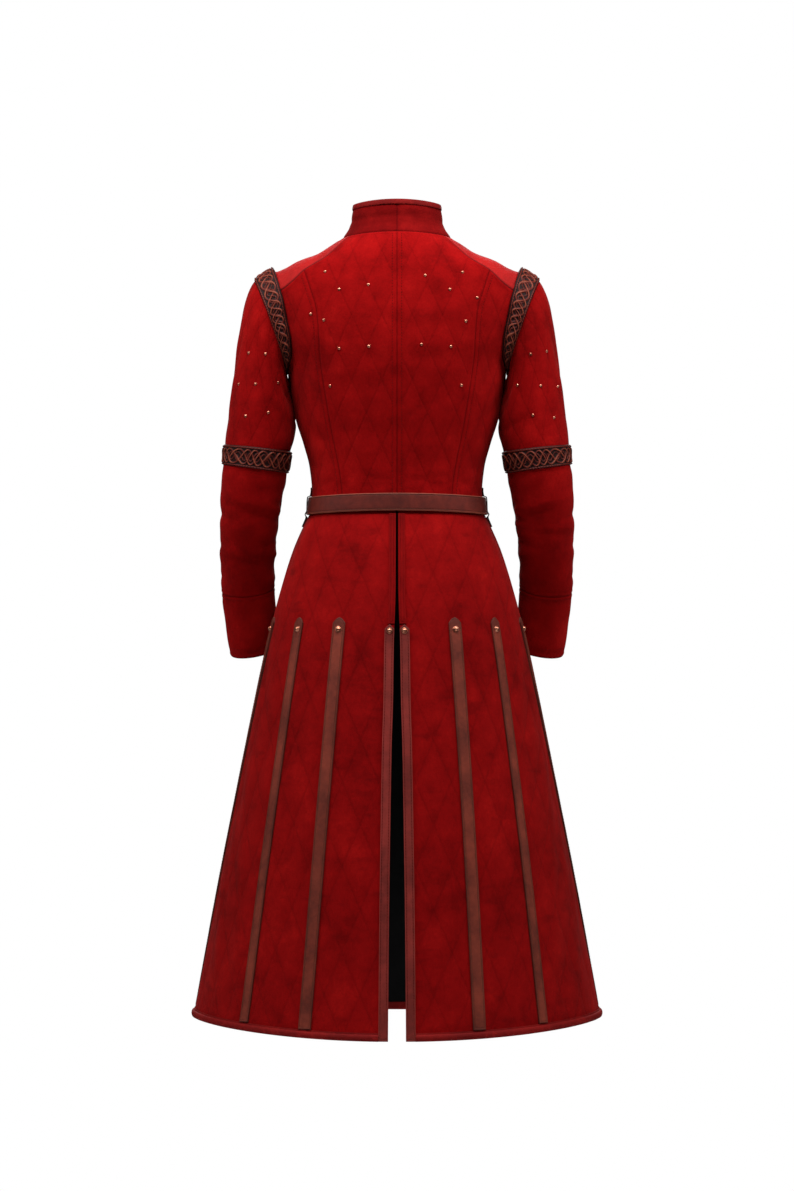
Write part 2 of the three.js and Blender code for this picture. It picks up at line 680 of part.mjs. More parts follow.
// The rolled binding runs along the last row of a skirt panel. Behind it starts beside the strip
// that edges the vent, which runs down past the cloth's edge.
const BINDING_PROUD = 3.6;
const boundBack = skirtBack.map(([first, ...rest]) => (
  [pulled(first, rest[0], VENT_STRIP_WIDTH + SEAM), ...rest]));
function hemBinding(grid) {
  const hem = trimmed(grid, SEAM / 2, false).at(-1);
  return bar(hem, bindingSection(BINDING_PROUD, BINDING_WRAP), onward(grid));
}
addPair('hem_binding_back', boundBack, hemBinding, stripLeather);
addPair('hem_binding_front', skirtFront, hemBinding, stripLeather, true);

// A strip laid on the skirt between two heights, with a point at its top. Its edges are turns at a
// height, and it bends where the skirt's rows do.
function strip(edges, top, bottom, point) {
  const turn = edges(top)[0];
  const between = SKIRT_ROWS.map((t) => skirtZ(t, turn)).filter((z) => z < top - point - 2 && z > bottom + 2);
  const grid = [top - point, ...between, bottom].map((z) => {
    const [from, to] = edges(z);
    return [from, (from + to) / 2, to].map((at) => bodyPoint(at, z));
  });
  grid[0][1] = bodyPoint(grid[0][1].turn, top);
  return grid;
}

// A width along the skirt, as a turn.
function asTurn(width, turn, z) {
  return width / bodyPlace(turn + 0.5, z).distanceTo(bodyPlace(turn - 0.5, z));
}
const onVentEdge = (width) => (z) => {
  const from = ventTurn(z);
  return [from, from + asTurn(width, from + 2, z)];
};
const bindingTop = (turn) => hemZ(turn) + BINDING_WRAP + SEAM;
const FACING_TOP_Z = BELT_Z - BELT_HEIGHT / 2 - 4;
const STRIP_TOP_Z = -625;
const STRIP_POINT = 7;
const STRIP_FOOT = 2; // how far the strip runs past the cloth's edge
const facing = strip(onVentEdge(VENT_FACING_WIDTH), FACING_TOP_Z, STRIP_TOP_Z + 1, 0);
const ventStrip = strip(onVentEdge(VENT_STRIP_WIDTH), STRIP_TOP_Z, hemZ(3) - STRIP_FOOT, STRIP_POINT);
addPair('vent_facing', facing, (grid) => laidOn(grid, VENT_FACING_THICK), stripLeather);
addPair('vent_strip', ventStrip, (grid) => laidOn(grid, VENT_STRIP_THICK), stripLeather);

// Each strap has a turn at its top, and one at the hem for the right half and for the left. The two
// behind fan out less than the skirt does. The side one runs forward over the side seam, and stands
// a little further off the cloth there.
const straps = table(['name', 'width', 'topTurn', 'right', 'left', 'stand'], [
  ['inner', 21, 26.9, 23, 26, 0],
  ['middle', 18, 50.4, 44.4, 47.2, 0],
  ['side', 18, 80, 98, 98, 0.3],
]);

// A domed rivet on its washer, standing on a cloth point.
const rivetProfile = table(['radius', 'height'], [
  [0, 0],
  [5, 0],
  [5, 0.9],
  [3.6, 1.1],
  [2.9, 2.6],
  [1.5, 3.6],
  [0, 3.9],
]);
const RIVET_FACETS = 10;
function lathed(profile, facets, point, finish, name) {
  const outline = profile.map((row) => new THREE.Vector2(row.radius, row.height));
  const mesh = add(name, new THREE.LatheGeometry(outline, facets), finish);
  mesh.position.copy(point.place);
  mesh.quaternion.setFromUnitVectors(vector(0, 1, 0), point.out);
}
const halves = { right: (point) => point, left: mirrored };
function addRivet(name, half, turn, z, height) {
  const seat = halves[half](raised(bodyPoint(turn, z), height));
  lathed(rivetProfile, RIVET_FACETS, seat, copper, `rivet_${name}_${half}`);
}

const STRAP_POINT = 9; // how far the tip of a strap rises over its shoulders
const ventRivetTurn = ventTurn(RIVET_Z) + asTurn(VENT_STRIP_WIDTH, ventTurn(RIVET_Z) + 2, RIVET_Z) / 2;
for (const half of Object.keys(halves)) {
  for (const strap of straps) {
    const middle = (z) => (
      mix(strap.topTurn, strap[half], (z - STRAP_TOP_Z) / (HEM_SIDE_Z - STRAP_TOP_Z)));
    const edges = (z) => {
      const reach = asTurn(strap.width, middle(z), z) / 2;
      return [middle(z) - reach, middle(z) + reach];
    };
    const grid = strip(edges, STRAP_TOP_Z, bindingTop(strap[half]), STRAP_POINT)
      .map((row) => row.map((point) => halves[half](raised(point, strap.stand))));
    add(`strap_${strap.name}_${half}`, laidOn(grid, STRAP_THICK), strapLeather);
    addRivet(strap.name, half, middle(RIVET_Z), RIVET_Z, strap.stand + 2 * REST + STRAP_THICK);
  }
  addRivet('vent', half, ventRivetTurn, RIVET_Z - 2, 2 * REST + VENT_STRIP_THICK);
}

// ----------------------------------------------------------------------------------------- belt
// A point on the coat at a turn that may pass the centre front: beyond 180 it comes round again.
function roundPoint(turn, z, height) {
  const wrapped = THREE.MathUtils.euclideanModulo(turn + 180, 360) - 180;
  const point = wrapped < 0 ? mirrored(bodyPoint(-wrapped, z)) : bodyPoint(wrapped, z);
  const { x, y } = point.place;
  const lift = y > 0 ? lapLift(-x, z) * (1 - smooth(x, LAP + 6, LAP + 50)) : 0;
  return raised(point, lift + height);
}

// The belt starts behind the buckle, goes round by the back and passes over its own start. Its
// turns stand closer together where the tail climbs over the buckle's heel bar.
const BELT_START = 174;
const TAIL_TURN = -238;
const TAIL_RISE = BELT_THICK + 0.8;
const TAIL_TIP = 4; // how far the tail's point runs on, as a turn
const beltTurns = [...span(BELT_START, -156, 33), ...span(-163, -187, 6), ...span(-196, TAIL_TURN, 5)];
const tailHeight = (turn) => BELT_STAND + TAIL_RISE * smooth(-turn, 170, 182);
const halfway = (a, b) => ({
  place: a.place.clone().lerp(b.place, 0.5),
  out: a.out.clone().lerp(b.out, 0.5),
});
const beltMiddle = (turn) => BELT_Z - BELT_DROOP * Math.sin(radians(turn)) ** 2;
// The belt is flat from its upper to its lower edge, which lie half its height from the middle.
function beltLevel(turn, height, reach = BELT_HEIGHT / 2) {
  const edges = [1, -1].map((side) => roundPoint(turn, beltMiddle(turn) + side * reach, height));
  return [edges[0], halfway(edges[0], edges[1]), edges[1]];
}
const beltGrid = beltTurns.map((turn) => {
  const level = beltLevel(turn, tailHeight(turn));
  if (turn !== TAIL_TURN) return level;
  const corners = beltLevel(turn, tailHeight(turn), BELT_HEIGHT * 0.3);
  return [corners[0], beltLevel(turn - TAIL_TIP, tailHeight(turn))[1], corners[2]];
});

// The buckle: a frame round the belt, whose heel bar lies behind the tail and whose end bar lies on
// it. The prong rises from the heel bar through the tail and rests on the end bar.
const FRAME_BAR = 3;
const FRAME_REACH = BELT_HEIGHT / 2 + 1.2 + FRAME_BAR / 2;
const HEEL_TURN = -184;
const END_TURN = -167;
const HEEL_HEIGHT = BELT_STAND + FRAME_BAR / 2;
const END_HEIGHT = BELT_STAND + BELT_THICK + FRAME_BAR / 2 + 0.7;
const square = (out, past) => table(['out', 'past'], [
  [-out / 2, -past / 2],
  [out / 2, -past / 2],
  [out / 2, past / 2],
  [-out / 2, past / 2],
]);
// Each corner of the frame is drawn along its diagonal, so the bars keep their width.
const frameCorners = table(['turn', 'height', 'side', 'up'], [
  [HEEL_TURN, HEEL_HEIGHT, 1, 1],
  [HEEL_TURN, HEEL_HEIGHT, 1, -1],
  [END_TURN, END_HEIGHT, -1, -1],
  [END_TURN, END_HEIGHT, -1, 1],
]);
const frameLine = frameCorners.map((corner) => (
  roundPoint(corner.turn, beltMiddle(corner.turn) + corner.up * FRAME_REACH, corner.height)));
const frameDiagonal = (i) => vector(frameCorners[i].side, 0, frameCorners[i].up);
const beltBuckle = bar(frameLine, square(FRAME_BAR, FRAME_BAR), frameDiagonal, true);

const PRONG = 2.4;
const overBar = (turn, height) => beltLevel(turn, height, FRAME_REACH)[1];
const PRONG_TOP = tailHeight(HEEL_TURN) + BELT_THICK + 0.8 + PRONG / 2;
const PRONG_END_HEIGHT = END_HEIGHT + FRAME_BAR / 2 + 2 * REST + PRONG / 2;
const upright = (width) => {
  const line = [
    overBar(HEEL_TURN, HEEL_HEIGHT + FRAME_BAR / 2 + 0.1),
    overBar(HEEL_TURN, PRONG_TOP + PRONG / 2),
  ];
  const across = line.map((point) => ({ place: point.place, out: vector(1, 0, 0) }));
  return bar(across, square(width, width), () => vector(0, 0, 1));
};
const prongLine = [
  overBar(HEEL_TURN - 0.6, PRONG_TOP),
  overBar((HEEL_TURN + END_TURN) / 2, (PRONG_TOP + PRONG_END_HEIGHT) / 2 + 0.8),
  overBar(END_TURN + 1.4, PRONG_END_HEIGHT),
];
const prongArm = bar(prongLine, square(PRONG, PRONG), () => vector(0, 0, -1));

const toManifold = (geometry) => {
  const bare = geometry.clone();
  bare.deleteAttribute('normal');
  const merged = mergeVertices(bare);
  return new wasm.Manifold(new wasm.Mesh({
    numProp: 3,
    vertProperties: new Float32Array(merged.attributes.position.array),
    triVerts: new Uint32Array(merged.index.array),
  }));
};
const fromManifold = (solid) => {
  const mesh = solid.getMesh();
  const geometry = new THREE.BufferGeometry();
  geometry.setAttribute('position', new THREE.BufferAttribute(mesh.vertProperties, 3));
  geometry.setIndex(new THREE.BufferAttribute(mesh.triVerts, 1));
  geometry.computeVertexNormals();
  return geometry;
};
const HOLE = PRONG + 1.2;
const beltSolid = toManifold(wall(beltGrid, 0, BELT_THICK)).subtract(toManifold(upright(HOLE)));
add('belt', fromManifold(beltSolid), beltLeather);
add('belt_buckle', beltBuckle, steel);
add('belt_prong', fromManifold(toManifold(upright(PRONG)).add(toManifold(prongArm))), steel);

// The keeper holds the tail down on the belt: a flat band round both.
const KEEPER_TURN = -210;
const KEEPER_WIDTH = 9;
const KEEPER_THICK = 0.9;
const keeperCorners = table(['up', 'height', 'outward'], [
  [1, 2 * REST + KEEPER_THICK / 2, -1],
  [1, tailHeight(KEEPER_TURN) + BELT_THICK + 0.4 + KEEPER_THICK / 2, 1],
  [-1, tailHeight(KEEPER_TURN) + BELT_THICK + 0.4 + KEEPER_THICK / 2, 1],
  [-1, 2 * REST + KEEPER_THICK / 2, -1],
]);
const KEEPER_REACH = BELT_HEIGHT / 2 + 1;
const KEEPER_Z = beltMiddle(KEEPER_TURN);
const keeperOut = roundPoint(KEEPER_TURN, KEEPER_Z, 0).out;
const keeperAcross = vector(0, 0, 1).cross(keeperOut).normalize();
const keeperLine = keeperCorners.map((corner) => ({
  place: roundPoint(KEEPER_TURN, KEEPER_Z + corner.up * KEEPER_REACH, corner.height).place,
  out: keeperAcross,
}));
const keeperDiagonal = (i) => {
  const { up, outward } = keeperCorners[i];
  return keeperOut.clone().multiplyScalar(outward).add(vector(0, 0, up));
};
add('belt_keeper', bar(keeperLine, square(KEEPER_WIDTH, KEEPER_THICK), keeperDiagonal, true), beltLeather);

// A loop at each side seam carries the belt: it lies on the coat at both ends and bows over the belt.
const LOOP_WIDTH = 9;
const LOOP_THICK = 1.6;
const OVER_BELT = BELT_STAND + BELT_THICK + 0.4;
const LOOP_END = 0.8;
const loopShape = table(['up', 'height'], [
  [31, LOOP_END],
  [25, LOOP_END + 1],
  [BELT_HEIGHT / 2 + 2, OVER_BELT],
  [-BELT_HEIGHT / 2 - 2, OVER_BELT],
  [-23, LOOP_END + 1.6],
  [-33, LOOP_END],
]);
const loopGrid = loopShape.map(({ up, height }) => {
  const z = beltMiddle(90) + up;
  const half = asTurn(LOOP_WIDTH, 90, z) / 2;
  return [90 - half, 90 + half].map((turn) => raised(bodyPoint(turn, z), height));
});
addPair('belt_loop', loopGrid, (grid) => wall(grid, 0, LOOP_THICK), beltLeather);

// --------------------------------------------------------------------------------------- buttons
const buttonProfile = table(['radius', 'height'], [
  [0, 0],
  [8, 0],
  [9, 1.2],
  [8.2, 2.8],
  [5, 4.4],
  [0, 5],
]);
const BUTTON_FACETS = 12;
const BUTTONS = 7;
span(-72, -384, BUTTONS - 1).forEach((z, i) => {
  lathed(buttonProfile, BUTTON_FACETS, roundPoint(180, z, 2 * REST), copper, `button_${i + 1}`);
});

export default coat;
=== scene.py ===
"""Looks of a quilted gambeson: suede panels over batting with a black lining, leather yokes, bands,
straps, bindings and a belt, and copper studs, rivets and buttons.

Sizes are in millimetres and are the solids' own; a mesh is made in metres. The coat hangs about the
upright axis: the back faces -Y, the wearer's left is -X. A `turn` is an angle round the body in
degrees, from the centre back (0) over the side (90) to the centre front (180).
"""
import math

import bpy
import numpy as np
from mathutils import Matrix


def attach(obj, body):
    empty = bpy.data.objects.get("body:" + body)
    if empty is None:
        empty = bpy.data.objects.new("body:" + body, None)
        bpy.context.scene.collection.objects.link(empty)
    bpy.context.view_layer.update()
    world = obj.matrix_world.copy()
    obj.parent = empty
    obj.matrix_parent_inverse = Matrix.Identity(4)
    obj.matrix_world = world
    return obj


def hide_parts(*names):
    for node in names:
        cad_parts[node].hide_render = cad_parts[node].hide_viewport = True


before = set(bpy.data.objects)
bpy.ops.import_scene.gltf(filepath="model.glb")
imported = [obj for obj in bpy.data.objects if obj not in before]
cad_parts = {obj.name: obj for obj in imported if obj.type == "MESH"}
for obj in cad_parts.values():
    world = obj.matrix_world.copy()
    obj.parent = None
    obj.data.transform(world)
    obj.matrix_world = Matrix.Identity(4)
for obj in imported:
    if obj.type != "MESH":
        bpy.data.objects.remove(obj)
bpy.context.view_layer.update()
randoms = np.random.default_rng(7)
MM = 0.001

# ------------------------------------------------------------------------------------ camera, light
VIEW_DISTANCE = 7.3
VIEW_HEIGHT = -0.579
LONG_SIDE_SEEN = 1.9294  # metres of the coat's middle plane that the long side of the frame takes in
SENSOR = 36.0
camera = bpy.data.objects.new("camera", bpy.data.cameras.new("camera"))
bpy.context.scene.collection.objects.link(camera)
camera.data.sensor_width = SENSOR
camera.data.lens = SENSOR * VIEW_DISTANCE / LONG_SIDE_SEEN
camera.location = (0, -VIEW_DISTANCE, VIEW_HEIGHT)
camera.rotation_euler = (math.pi / 2, 0, 0)
bpy.context.scene.camera = camera
bpy.context.scene.view_settings.view_transform = "Standard"

# ---------------------------------------------------------------------------------------- the cut
CLOTH = 4.0  # the thickness of the quilted panels
SEAM = 0.3  # the gap between pieces at a seam
REST = 0.3  # the gap under a piece that lies on another
WAIST_Z = -427.0
ARMPIT_Z = -214.0
HEM_SIDE_Z = -1256.0
HEM_DROP = 16.0
YOKE_SAG = 7.0
NECK_HALF = 88.0
NECK_DEPTH = 78.0
COLLAR_HALF = 70.0
COLLAR_DEPTH = 61.5
COLLAR_TAPER = 0.19
COLLAR_TOP = {"back": 57.0, "side": 51.5, "front": 6.0}
LAP = 25.0  # the left front passes the centre by this much
LAP_LIFT = {"waist": CLOTH + 0.8, "hem": 10.5}
LAP_FADE = {"waist": (35.0, 95.0), "hem": (95.0, 190.0)}  # from the centre, where the lift fades out
BAND_THICK = 4.0
STRAP_THICK = 2.6
STRAP_TOP_Z = -614.0
RIVET_Z = -633.0
VENT_STRIP_WIDTH = 15.0
VENT_STRIP_THICK = 2.2
VENT_FACING_WIDTH = 10.5
VENT_FACING_THICK = 1.6
BINDING_WRAP = 11.0  # the hem's binding covers this much of the skirt
BELT_HEIGHT = 28.5
BELT_THICK = 3.2
BELT_STAND = 2.2  # the belt's gap off the coat
BELT_Z = -430.0
BELT_DROOP = 5.5


def table(columns, rows):
    """Rows of numbers under named columns, kept as one array for each column."""
    return dict(zip(columns.split(), np.array(rows, float).T))


# Level sections of the coat: height, half the width, depth behind the side line and in front of it,
# and how square the ellipse is, where 2 is a true one.
body_sections = table("z half back front square", [
    [9, 75, 73, 34, 2.0],
    [5.5, 81, 78, 36, 2.0],
    [0, 88.5, 84, 41, 2.0],
    [-10, 106, 92, 47, 2.0],
    [-29, 148, 101, 61, 2.0],
    [-46, 191, 107, 78, 2.05],
    [-51, 202, 109, 82, 2.05],
    [-60, 211, 111, 87, 2.1],
    [-75, 216, 115, 96, 2.15],
    [-100, 215, 120, 107, 2.2],
    [-131, 206, 124, 117, 2.25],
    [-175, 191, 125, 125, 2.3],
    [-200, 180.5, 123, 128, 2.3],
    [-214, 177, 122, 128.5, 2.3],
    [-235, 175, 119, 128.5, 2.3],
    [-254, 172.2, 117, 127, 2.3],
    [-270, 168.6, 115, 126, 2.3],
    [-295, 163.4, 112, 123, 2.25],
    [-334, 151, 107, 118, 2.2],
    [-373, 141, 103, 114, 2.15],
    [-411, 137.5, 101, 112, 2.1],
    [-427, 139, 102, 113, 2.1],
    [-442, 139.5, 104, 114, 2.1],
    [-454, 145, 109.5, 117.5, 2.1],
    [-470, 153, 117, 122, 2.1],
    [-509, 169.5, 134, 136, 2.05],
    [-567, 187.5, 154, 152, 2.05],
    [-606, 198, 166, 163, 2.0],
    [-684, 215, 183, 179, 2.0],
    [-813, 241, 209, 204, 2.0],
    [-1008, 280, 243, 238, 2.0],
    [-1202, 318, 273, 267, 2.0],
    [-1290, 336, 287, 280, 2.0],
])
# The armhole seam's distance from the middle, by height.
armhole_line = table("z x", [
    [-214, 177], [-209, 174], [-203, 171.5], [-190, 169], [-170, 170], [-150, 173],
    [-132, 177], [-108, 181.5], [-84, 188], [-68, 193], [-50, 199.5],
])
# The same of the seam between the back and the side back.
princess_line = table("z x", [
    [-427, 88], [-408, 89], [-300, 108], [-191, 124],
    [-162, 125.5], [-122, 129], [-91, 138], [-57, 149],
])
# The heights of the seams below the yoke, by distance from the middle.
yoke_lines = table("x back front", [
    [75, -4, -12], [100, -23, -27], [117, -37, -40], [149, -57, -60],
    [168, -75, -77], [182, -86, -87], [195.5, -94, -94],
])
# How far the vent's edges lie from the middle, by height.
vent_line = table("z open", [
    [-1290, 14.2], [-1105, 12.8], [-943, 10.6], [-813, 8.4], [-748, 6.4],
    [-659, 5.1], [-567, 2.3], [-457, 1.9], [-427, 1.2],
])
# Rings of the sleeve: its outermost and innermost points, half its depth, how far forward it lies,
# how far it tips in degrees, and the share of the armhole's own shape.
sleeve_rings = table("place outX outZ inX inZ depth forward tip fade", [
    [0, 202, -52, 177, -214, 60, 0, 0, 1],
    [1, 216, -60, 183.4, -219, 62, 0, 0, 0.75],
    [2, 231, -71, 181.3, -225, 63, 0, 0, 0.5],
    [3, 246.5, -106, 174.8, -236, 65, 0, 0, 0.2],
    [4, 256, -160, 170, -265, 66, 0, 0, 0],
    [5, 265.5, -228, 164.5, -292, 65, 0, 0, 0],
    [6, 273.5, -293, 166.4, -321, 63, 0, 0, 0],
    [7, 278.5, -335, 173, -346, 61, 0, 0, 0],
    [8, 279.5, -351, 175.5, -364, 60, 0, 0, 0],
    [9, 280.5, -367, 179, -381, 59, 0, 1, 0],
    [10, 283.5, -383, 180.5, -396, 58, 2, 2, 0],
    [11, 284.5, -402, 185, -414, 56, 5, 3, 0],
    [12, 286.5, -423, 187, -433, 55, 9, 5, 0],
    [13, 286, -443, 191.5, -452, 53, 15, 6, 0],
    [14, 288, -465, 192.5, -471, 52, 21, 8, 0],
    [15, 287, -486, 196.5, -490, 50, 28, 9, 0],
    [16, 288.5, -509, 196.5, -510, 49, 36, 11, 0],
    [17, 287, -531, 200, -530, 47, 45, 12, 0],
    [18, 287.5, -552, 199, -549, 46, 54, 14, 0],
    [19, 286, -574, 200, -566, 44, 62, 15, 0],
    [20, 281, -622, 197, -612, 43, 81, 16, 0],
    [21, 273.5, -676, 192, -662, 42, 100, 16, 0],
])


def each_row(rows):
    """The rows of a table again, one after the other."""
    return zip(*rows.values())


def follow(rows, along, column):
    """A smooth curve through one column against another, with no overshoot: cubic pieces whose slope
    at a row is the harmonic mean of the steps on both sides of it, and nought where they turn."""
    x, y = rows[along], rows[column]
    if x[0] > x[-1]:
        x, y = x[::-1], y[::-1]
    step = np.diff(y) / np.diff(x)
    product = step[:-1] * step[1:]
    total = np.where(product > 0, step[:-1] + step[1:], 1)
    slope = np.concatenate([step[:1], np.where(product > 0, 2 * product / total, 0), step[-1:]])

    def curve(at):
        i = np.clip(np.searchsorted(x, at) - 1, 0, len(x) - 2)
        wide = x[i + 1] - x[i]
        t = np.clip((at - x[i]) / wide, 0, 1)
        u = 1 - t
        return (y[i] * u * u * (1 + 2 * t) + y[i + 1] * t * t * (3 - 2 * t)
                + wide * (slope[i] * t * u * u - slope[i + 1] * t * t * u))
    return curve


half_at, back_at, front_at, square_at = (
    follow(body_sections, "z", column) for column in ("half", "back", "front", "square"))
armhole_x = follow(armhole_line, "z", "x")
princess_x = follow(princess_line, "z", "x")
yoke_z = {"back": follow(yoke_lines, "x", "back"), "front": follow(yoke_lines, "x", "front")}
vent_open = follow(vent_line, "z", "open")
ring_at = {name: follow(sleeve_rings, "place", name) for name in sleeve_rings if name != "place"}


# --------------------------------------------------------------------------------- plain geometry
def mix(a, b, t):
    return a + (b - a) * t


def smooth(x, low, high):
    """Rises from 0 at low to 1 at high, flat at both ends."""
    t = np.clip((x - low) / (high - low), 0, 1)
    return t * t * (3 - 2 * t)


def unit(v):
    return v / np.maximum(np.linalg.norm(v, axis=-1, keepdims=True), 1e-12)


def dot(a, b):
    return np.sum(a * b, axis=-1, keepdims=True)


def bell(x):
    """exp(-x^2): 1 at nought, and nearly gone at 2."""
    return np.exp(-x ** 2)


def signed_power(value, power):
    return np.sign(value) * np.abs(value) ** power


def ring_angles(count):
    """Angles evenly round a ring, in radians."""
    return np.linspace(0, 2 * np.pi, count, endpoint=False)


def way_along(line, closed=False):
    """The direction of a line at each of its points, from its neighbours."""
    if closed:
        return unit(np.roll(line, -1, axis=0) - np.roll(line, 1, axis=0))
    return unit(np.gradient(line, axis=0))


def stack(x, y, z):
    return np.stack(np.broadcast_arrays(x, y, z), axis=-1)


def body(turn, z):
    """The coat's surface: a level section is a squared ellipse, deeper or shallower behind the side
    line than in front of it. x = half sin(turn)^(2/square), y = -depth cos(turn)^(2/square)."""
    sine, cosine = np.sin(np.radians(turn)), np.cos(np.radians(turn))
    power = 2 / square_at(z)
    depth = np.where(cosine > 0, back_at(z), front_at(z))
    return stack(half_at(z) * signed_power(sine, power), -depth * signed_power(cosine, power), z)


def body_out(turn, z):
    """The outward direction there, from the steps to places just beside it."""
    side = body(turn + 1.5, z) - body(turn - 1.5, z)
    up = body(turn, z + 2) - body(turn, z - 2)
    return unit(np.cross(side, up))


def turn_at(x, z, front=False):
    """The turn at which a level section reaches x."""
    reach = np.minimum(np.abs(x) / half_at(z), 1)
    turn = np.sign(x) * np.degrees(np.arcsin(reach ** (square_at(z) / 2)))
    return np.where(front, 180 - turn, turn)


def hem_z(turn):
    """The hem's height, lower behind and in front than at the sides."""
    return HEM_SIDE_Z - HEM_DROP * np.cos(np.radians(turn)) ** 2


NECK_SPAN = (-80.0, 14.0)  # the heights that the neckline is looked for between
HALVINGS = 40


def neck_point(angle):
    """(turn, z) of the neckline: where the coat's surface meets an upright elliptical tube, found by
    halving the span of heights again and again."""
    x = NECK_HALF * np.sin(np.radians(angle))
    y = -NECK_DEPTH * np.cos(np.radians(angle))
    low, high = (np.full(np.shape(angle), end) for end in NECK_SPAN)
    for _ in range(HALVINGS):
        z = (low + high) / 2
        depth = np.where(y < 0, back_at(z), front_at(z))
        power = square_at(z)
        beyond = (np.abs(x) / half_at(z)) ** power + (np.abs(y) / depth) ** power > 1
        low, high = np.where(beyond, low, z), np.where(beyond, z, high)
    return np.stack([turn_at(x, low, y > 0), low], axis=-1)


def armhole_point(angle):
    """(turn, z) of the armhole seam: angle 0 is its top, 180 under the arm, between them behind."""
    z = mix(ARMPIT_Z, armhole_line["z"][-1], (1 + np.cos(np.radians(angle))) / 2)
    return np.stack([turn_at(armhole_x(z), z, np.mod(angle, 360) > 180), z], axis=-1)


def on_body(line):
    return body(line[..., 0], line[..., 1])


def length_along(points):
    """How far each point of a line lies from its start, along the line."""
    steps = np.linalg.norm(np.diff(points, axis=0), axis=-1)
    return np.concatenate([[0], np.cumsum(steps)])


def spaced(line, parts, corner=None):
    """A line of (turn, z) points, taken anew at given shares of its length. The share that is
    nearest to a corner of the line is moved onto it."""
    run = length_along(on_body(line))
    at = parts * run[-1]
    if corner is not None:
        at[1 + np.argmin(np.abs(at[1:-1] - run[corner]))] = run[corner]
    return np.stack([np.interp(at, run, line[:, k]) for k in range(2)], axis=-1)


def shares(length, step, edges=(True, True)):
    """Shares of a length: close together within a few millimetres of a sewn edge, then even."""
    near = np.array([0, 0.5, 1.2, 2.1, 3.2, 4.6, 5.9, 6.9, 7.9, 9.2, 11.0])
    low, high = (near if edge else near[:1] for edge in edges)
    count = max(2, round((length - low[-1] - high[-1]) / step))
    middle = np.linspace(low[-1], length - high[-1], count + 1)
    return np.concatenate([low[:-1], middle, (length - high[:-1])[::-1]]) / length


def share_of(line):
    """Each point's share of a line's length. The line is of (turn, z) points, or of places."""
    run = length_along(on_body(line) if line.shape[-1] == 2 else line)
    return run / run[-1]


def patch(bottom, top, left, right):
    """Points stretched between four edges: across and along, less the corners' share of both."""
    v = share_of(left)[:, None, None]
    u = share_of(bottom)[None, :, None]
    corners = mix(mix(bottom[0], bottom[-1], u), mix(top[0], top[-1], u), v)
    made = mix(bottom[None], top[None], v) + mix(left[:, None], right[:, None], u) - corners
    made[0], made[-1], made[:, 0], made[:, -1] = bottom, top, left, right
    return made


def lap_lift(x, z):
    """How far the lapped front stands out, at a distance from the centre line on its own side."""
    low = np.clip((WAIST_Z - z) / (WAIST_Z - HEM_SIDE_Z), 0, 1)
    start, stop = (mix(LAP_FADE["waist"][k], LAP_FADE["hem"][k], low) for k in (0, 1))
    return mix(LAP_LIFT["waist"], LAP_LIFT["hem"], low) * (1 - smooth(x, start, stop))


def lifted(place, out):
    """The lapped front's points, moved out level over the front below it."""
    level = unit(out * (1, 1, 0))
    lift = lap_lift(place[..., :1], place[..., 2:]) / dot(level, out)
    return np.where(place[..., 1:2] > 0, place + level * lift, place)


def round_body(turn, z, height=0.0):
    """A place on the closed coat and its outward direction, at a turn that may pass the centre
    front and come round again. It lies on the left front where that laps over the right one."""
    wrapped = np.mod(turn + 180, 360) - 180
    side = stack(np.where(wrapped < 0, -1, 1), 1, 1)
    place, out = body(np.abs(wrapped), z) * side, body_out(np.abs(wrapped), z) * side
    x, y = place[..., 0], place[..., 1]
    lift = np.where(y > 0, lap_lift(-x, z) * (1 - smooth(x, LAP + 6, LAP + 50)), 0)
    return place + out * (lift + height)[..., None], out


# The distance round the coat from the centre back, looked up between worked-out turns and heights.
TURN_STEP, HEIGHT_STEP = 1.5, 10.0
GIRTH_TURNS = np.arange(0, 211, TURN_STEP)
GIRTH_HEIGHTS = np.arange(-1290, 10, HEIGHT_STEP)
girth_steps = np.linalg.norm(np.diff(
    body(GIRTH_TURNS[None], GIRTH_HEIGHTS[:, None]), axis=1), axis=-1)
girths = np.pad(np.cumsum(girth_steps, axis=1), ((0, 0), (1, 0)))


def around(turn, z):
    """The distance round the coat, weighed between the four nearest looked-up values."""
    row = np.clip((z - GIRTH_HEIGHTS[0]) / HEIGHT_STEP, 0, len(GIRTH_HEIGHTS) - 1.001)
    column = np.clip(np.asarray(turn) / TURN_STEP, 0, len(GIRTH_TURNS) - 1.001)
    i, j = row.astype(int), column.astype(int)
    v, u = row - i, column - j
    below = mix(girths[i, j], girths[i, j + 1], u)
    return mix(below, mix(girths[i + 1, j], girths[i + 1, j + 1], u), v)


REACH = 40.0  # distances over this are all given as this
AT_ONCE = 4_000_000  # pairs of points that are compared at a time


def nearest(points, line):
    """The distance from each point to a line's own points, and which of them is nearest."""
    flat = points.reshape(-1, 3).astype(np.float32)
    line = line.astype(np.float32)
    far = np.full(len(flat), REACH, np.float32)
    which = np.zeros(len(flat), int)
    low, high = line.min(axis=0) - REACH, line.max(axis=0) + REACH
    near = np.flatnonzero(np.all((flat > low) & (flat < high), axis=1))
    for part in np.array_split(near, max(1, len(near) * len(line) // AT_ONCE)):
        if len(part):
            square = sum((flat[part, None, k] - line[None, :, k]) ** 2 for k in range(3))
            which[part] = square.argmin(axis=1)
            far[part] = np.minimum(np.sqrt(square.min(axis=1)), REACH)
    return far.reshape(points.shape[:-1]).astype(float), which.reshape(points.shape[:-1])


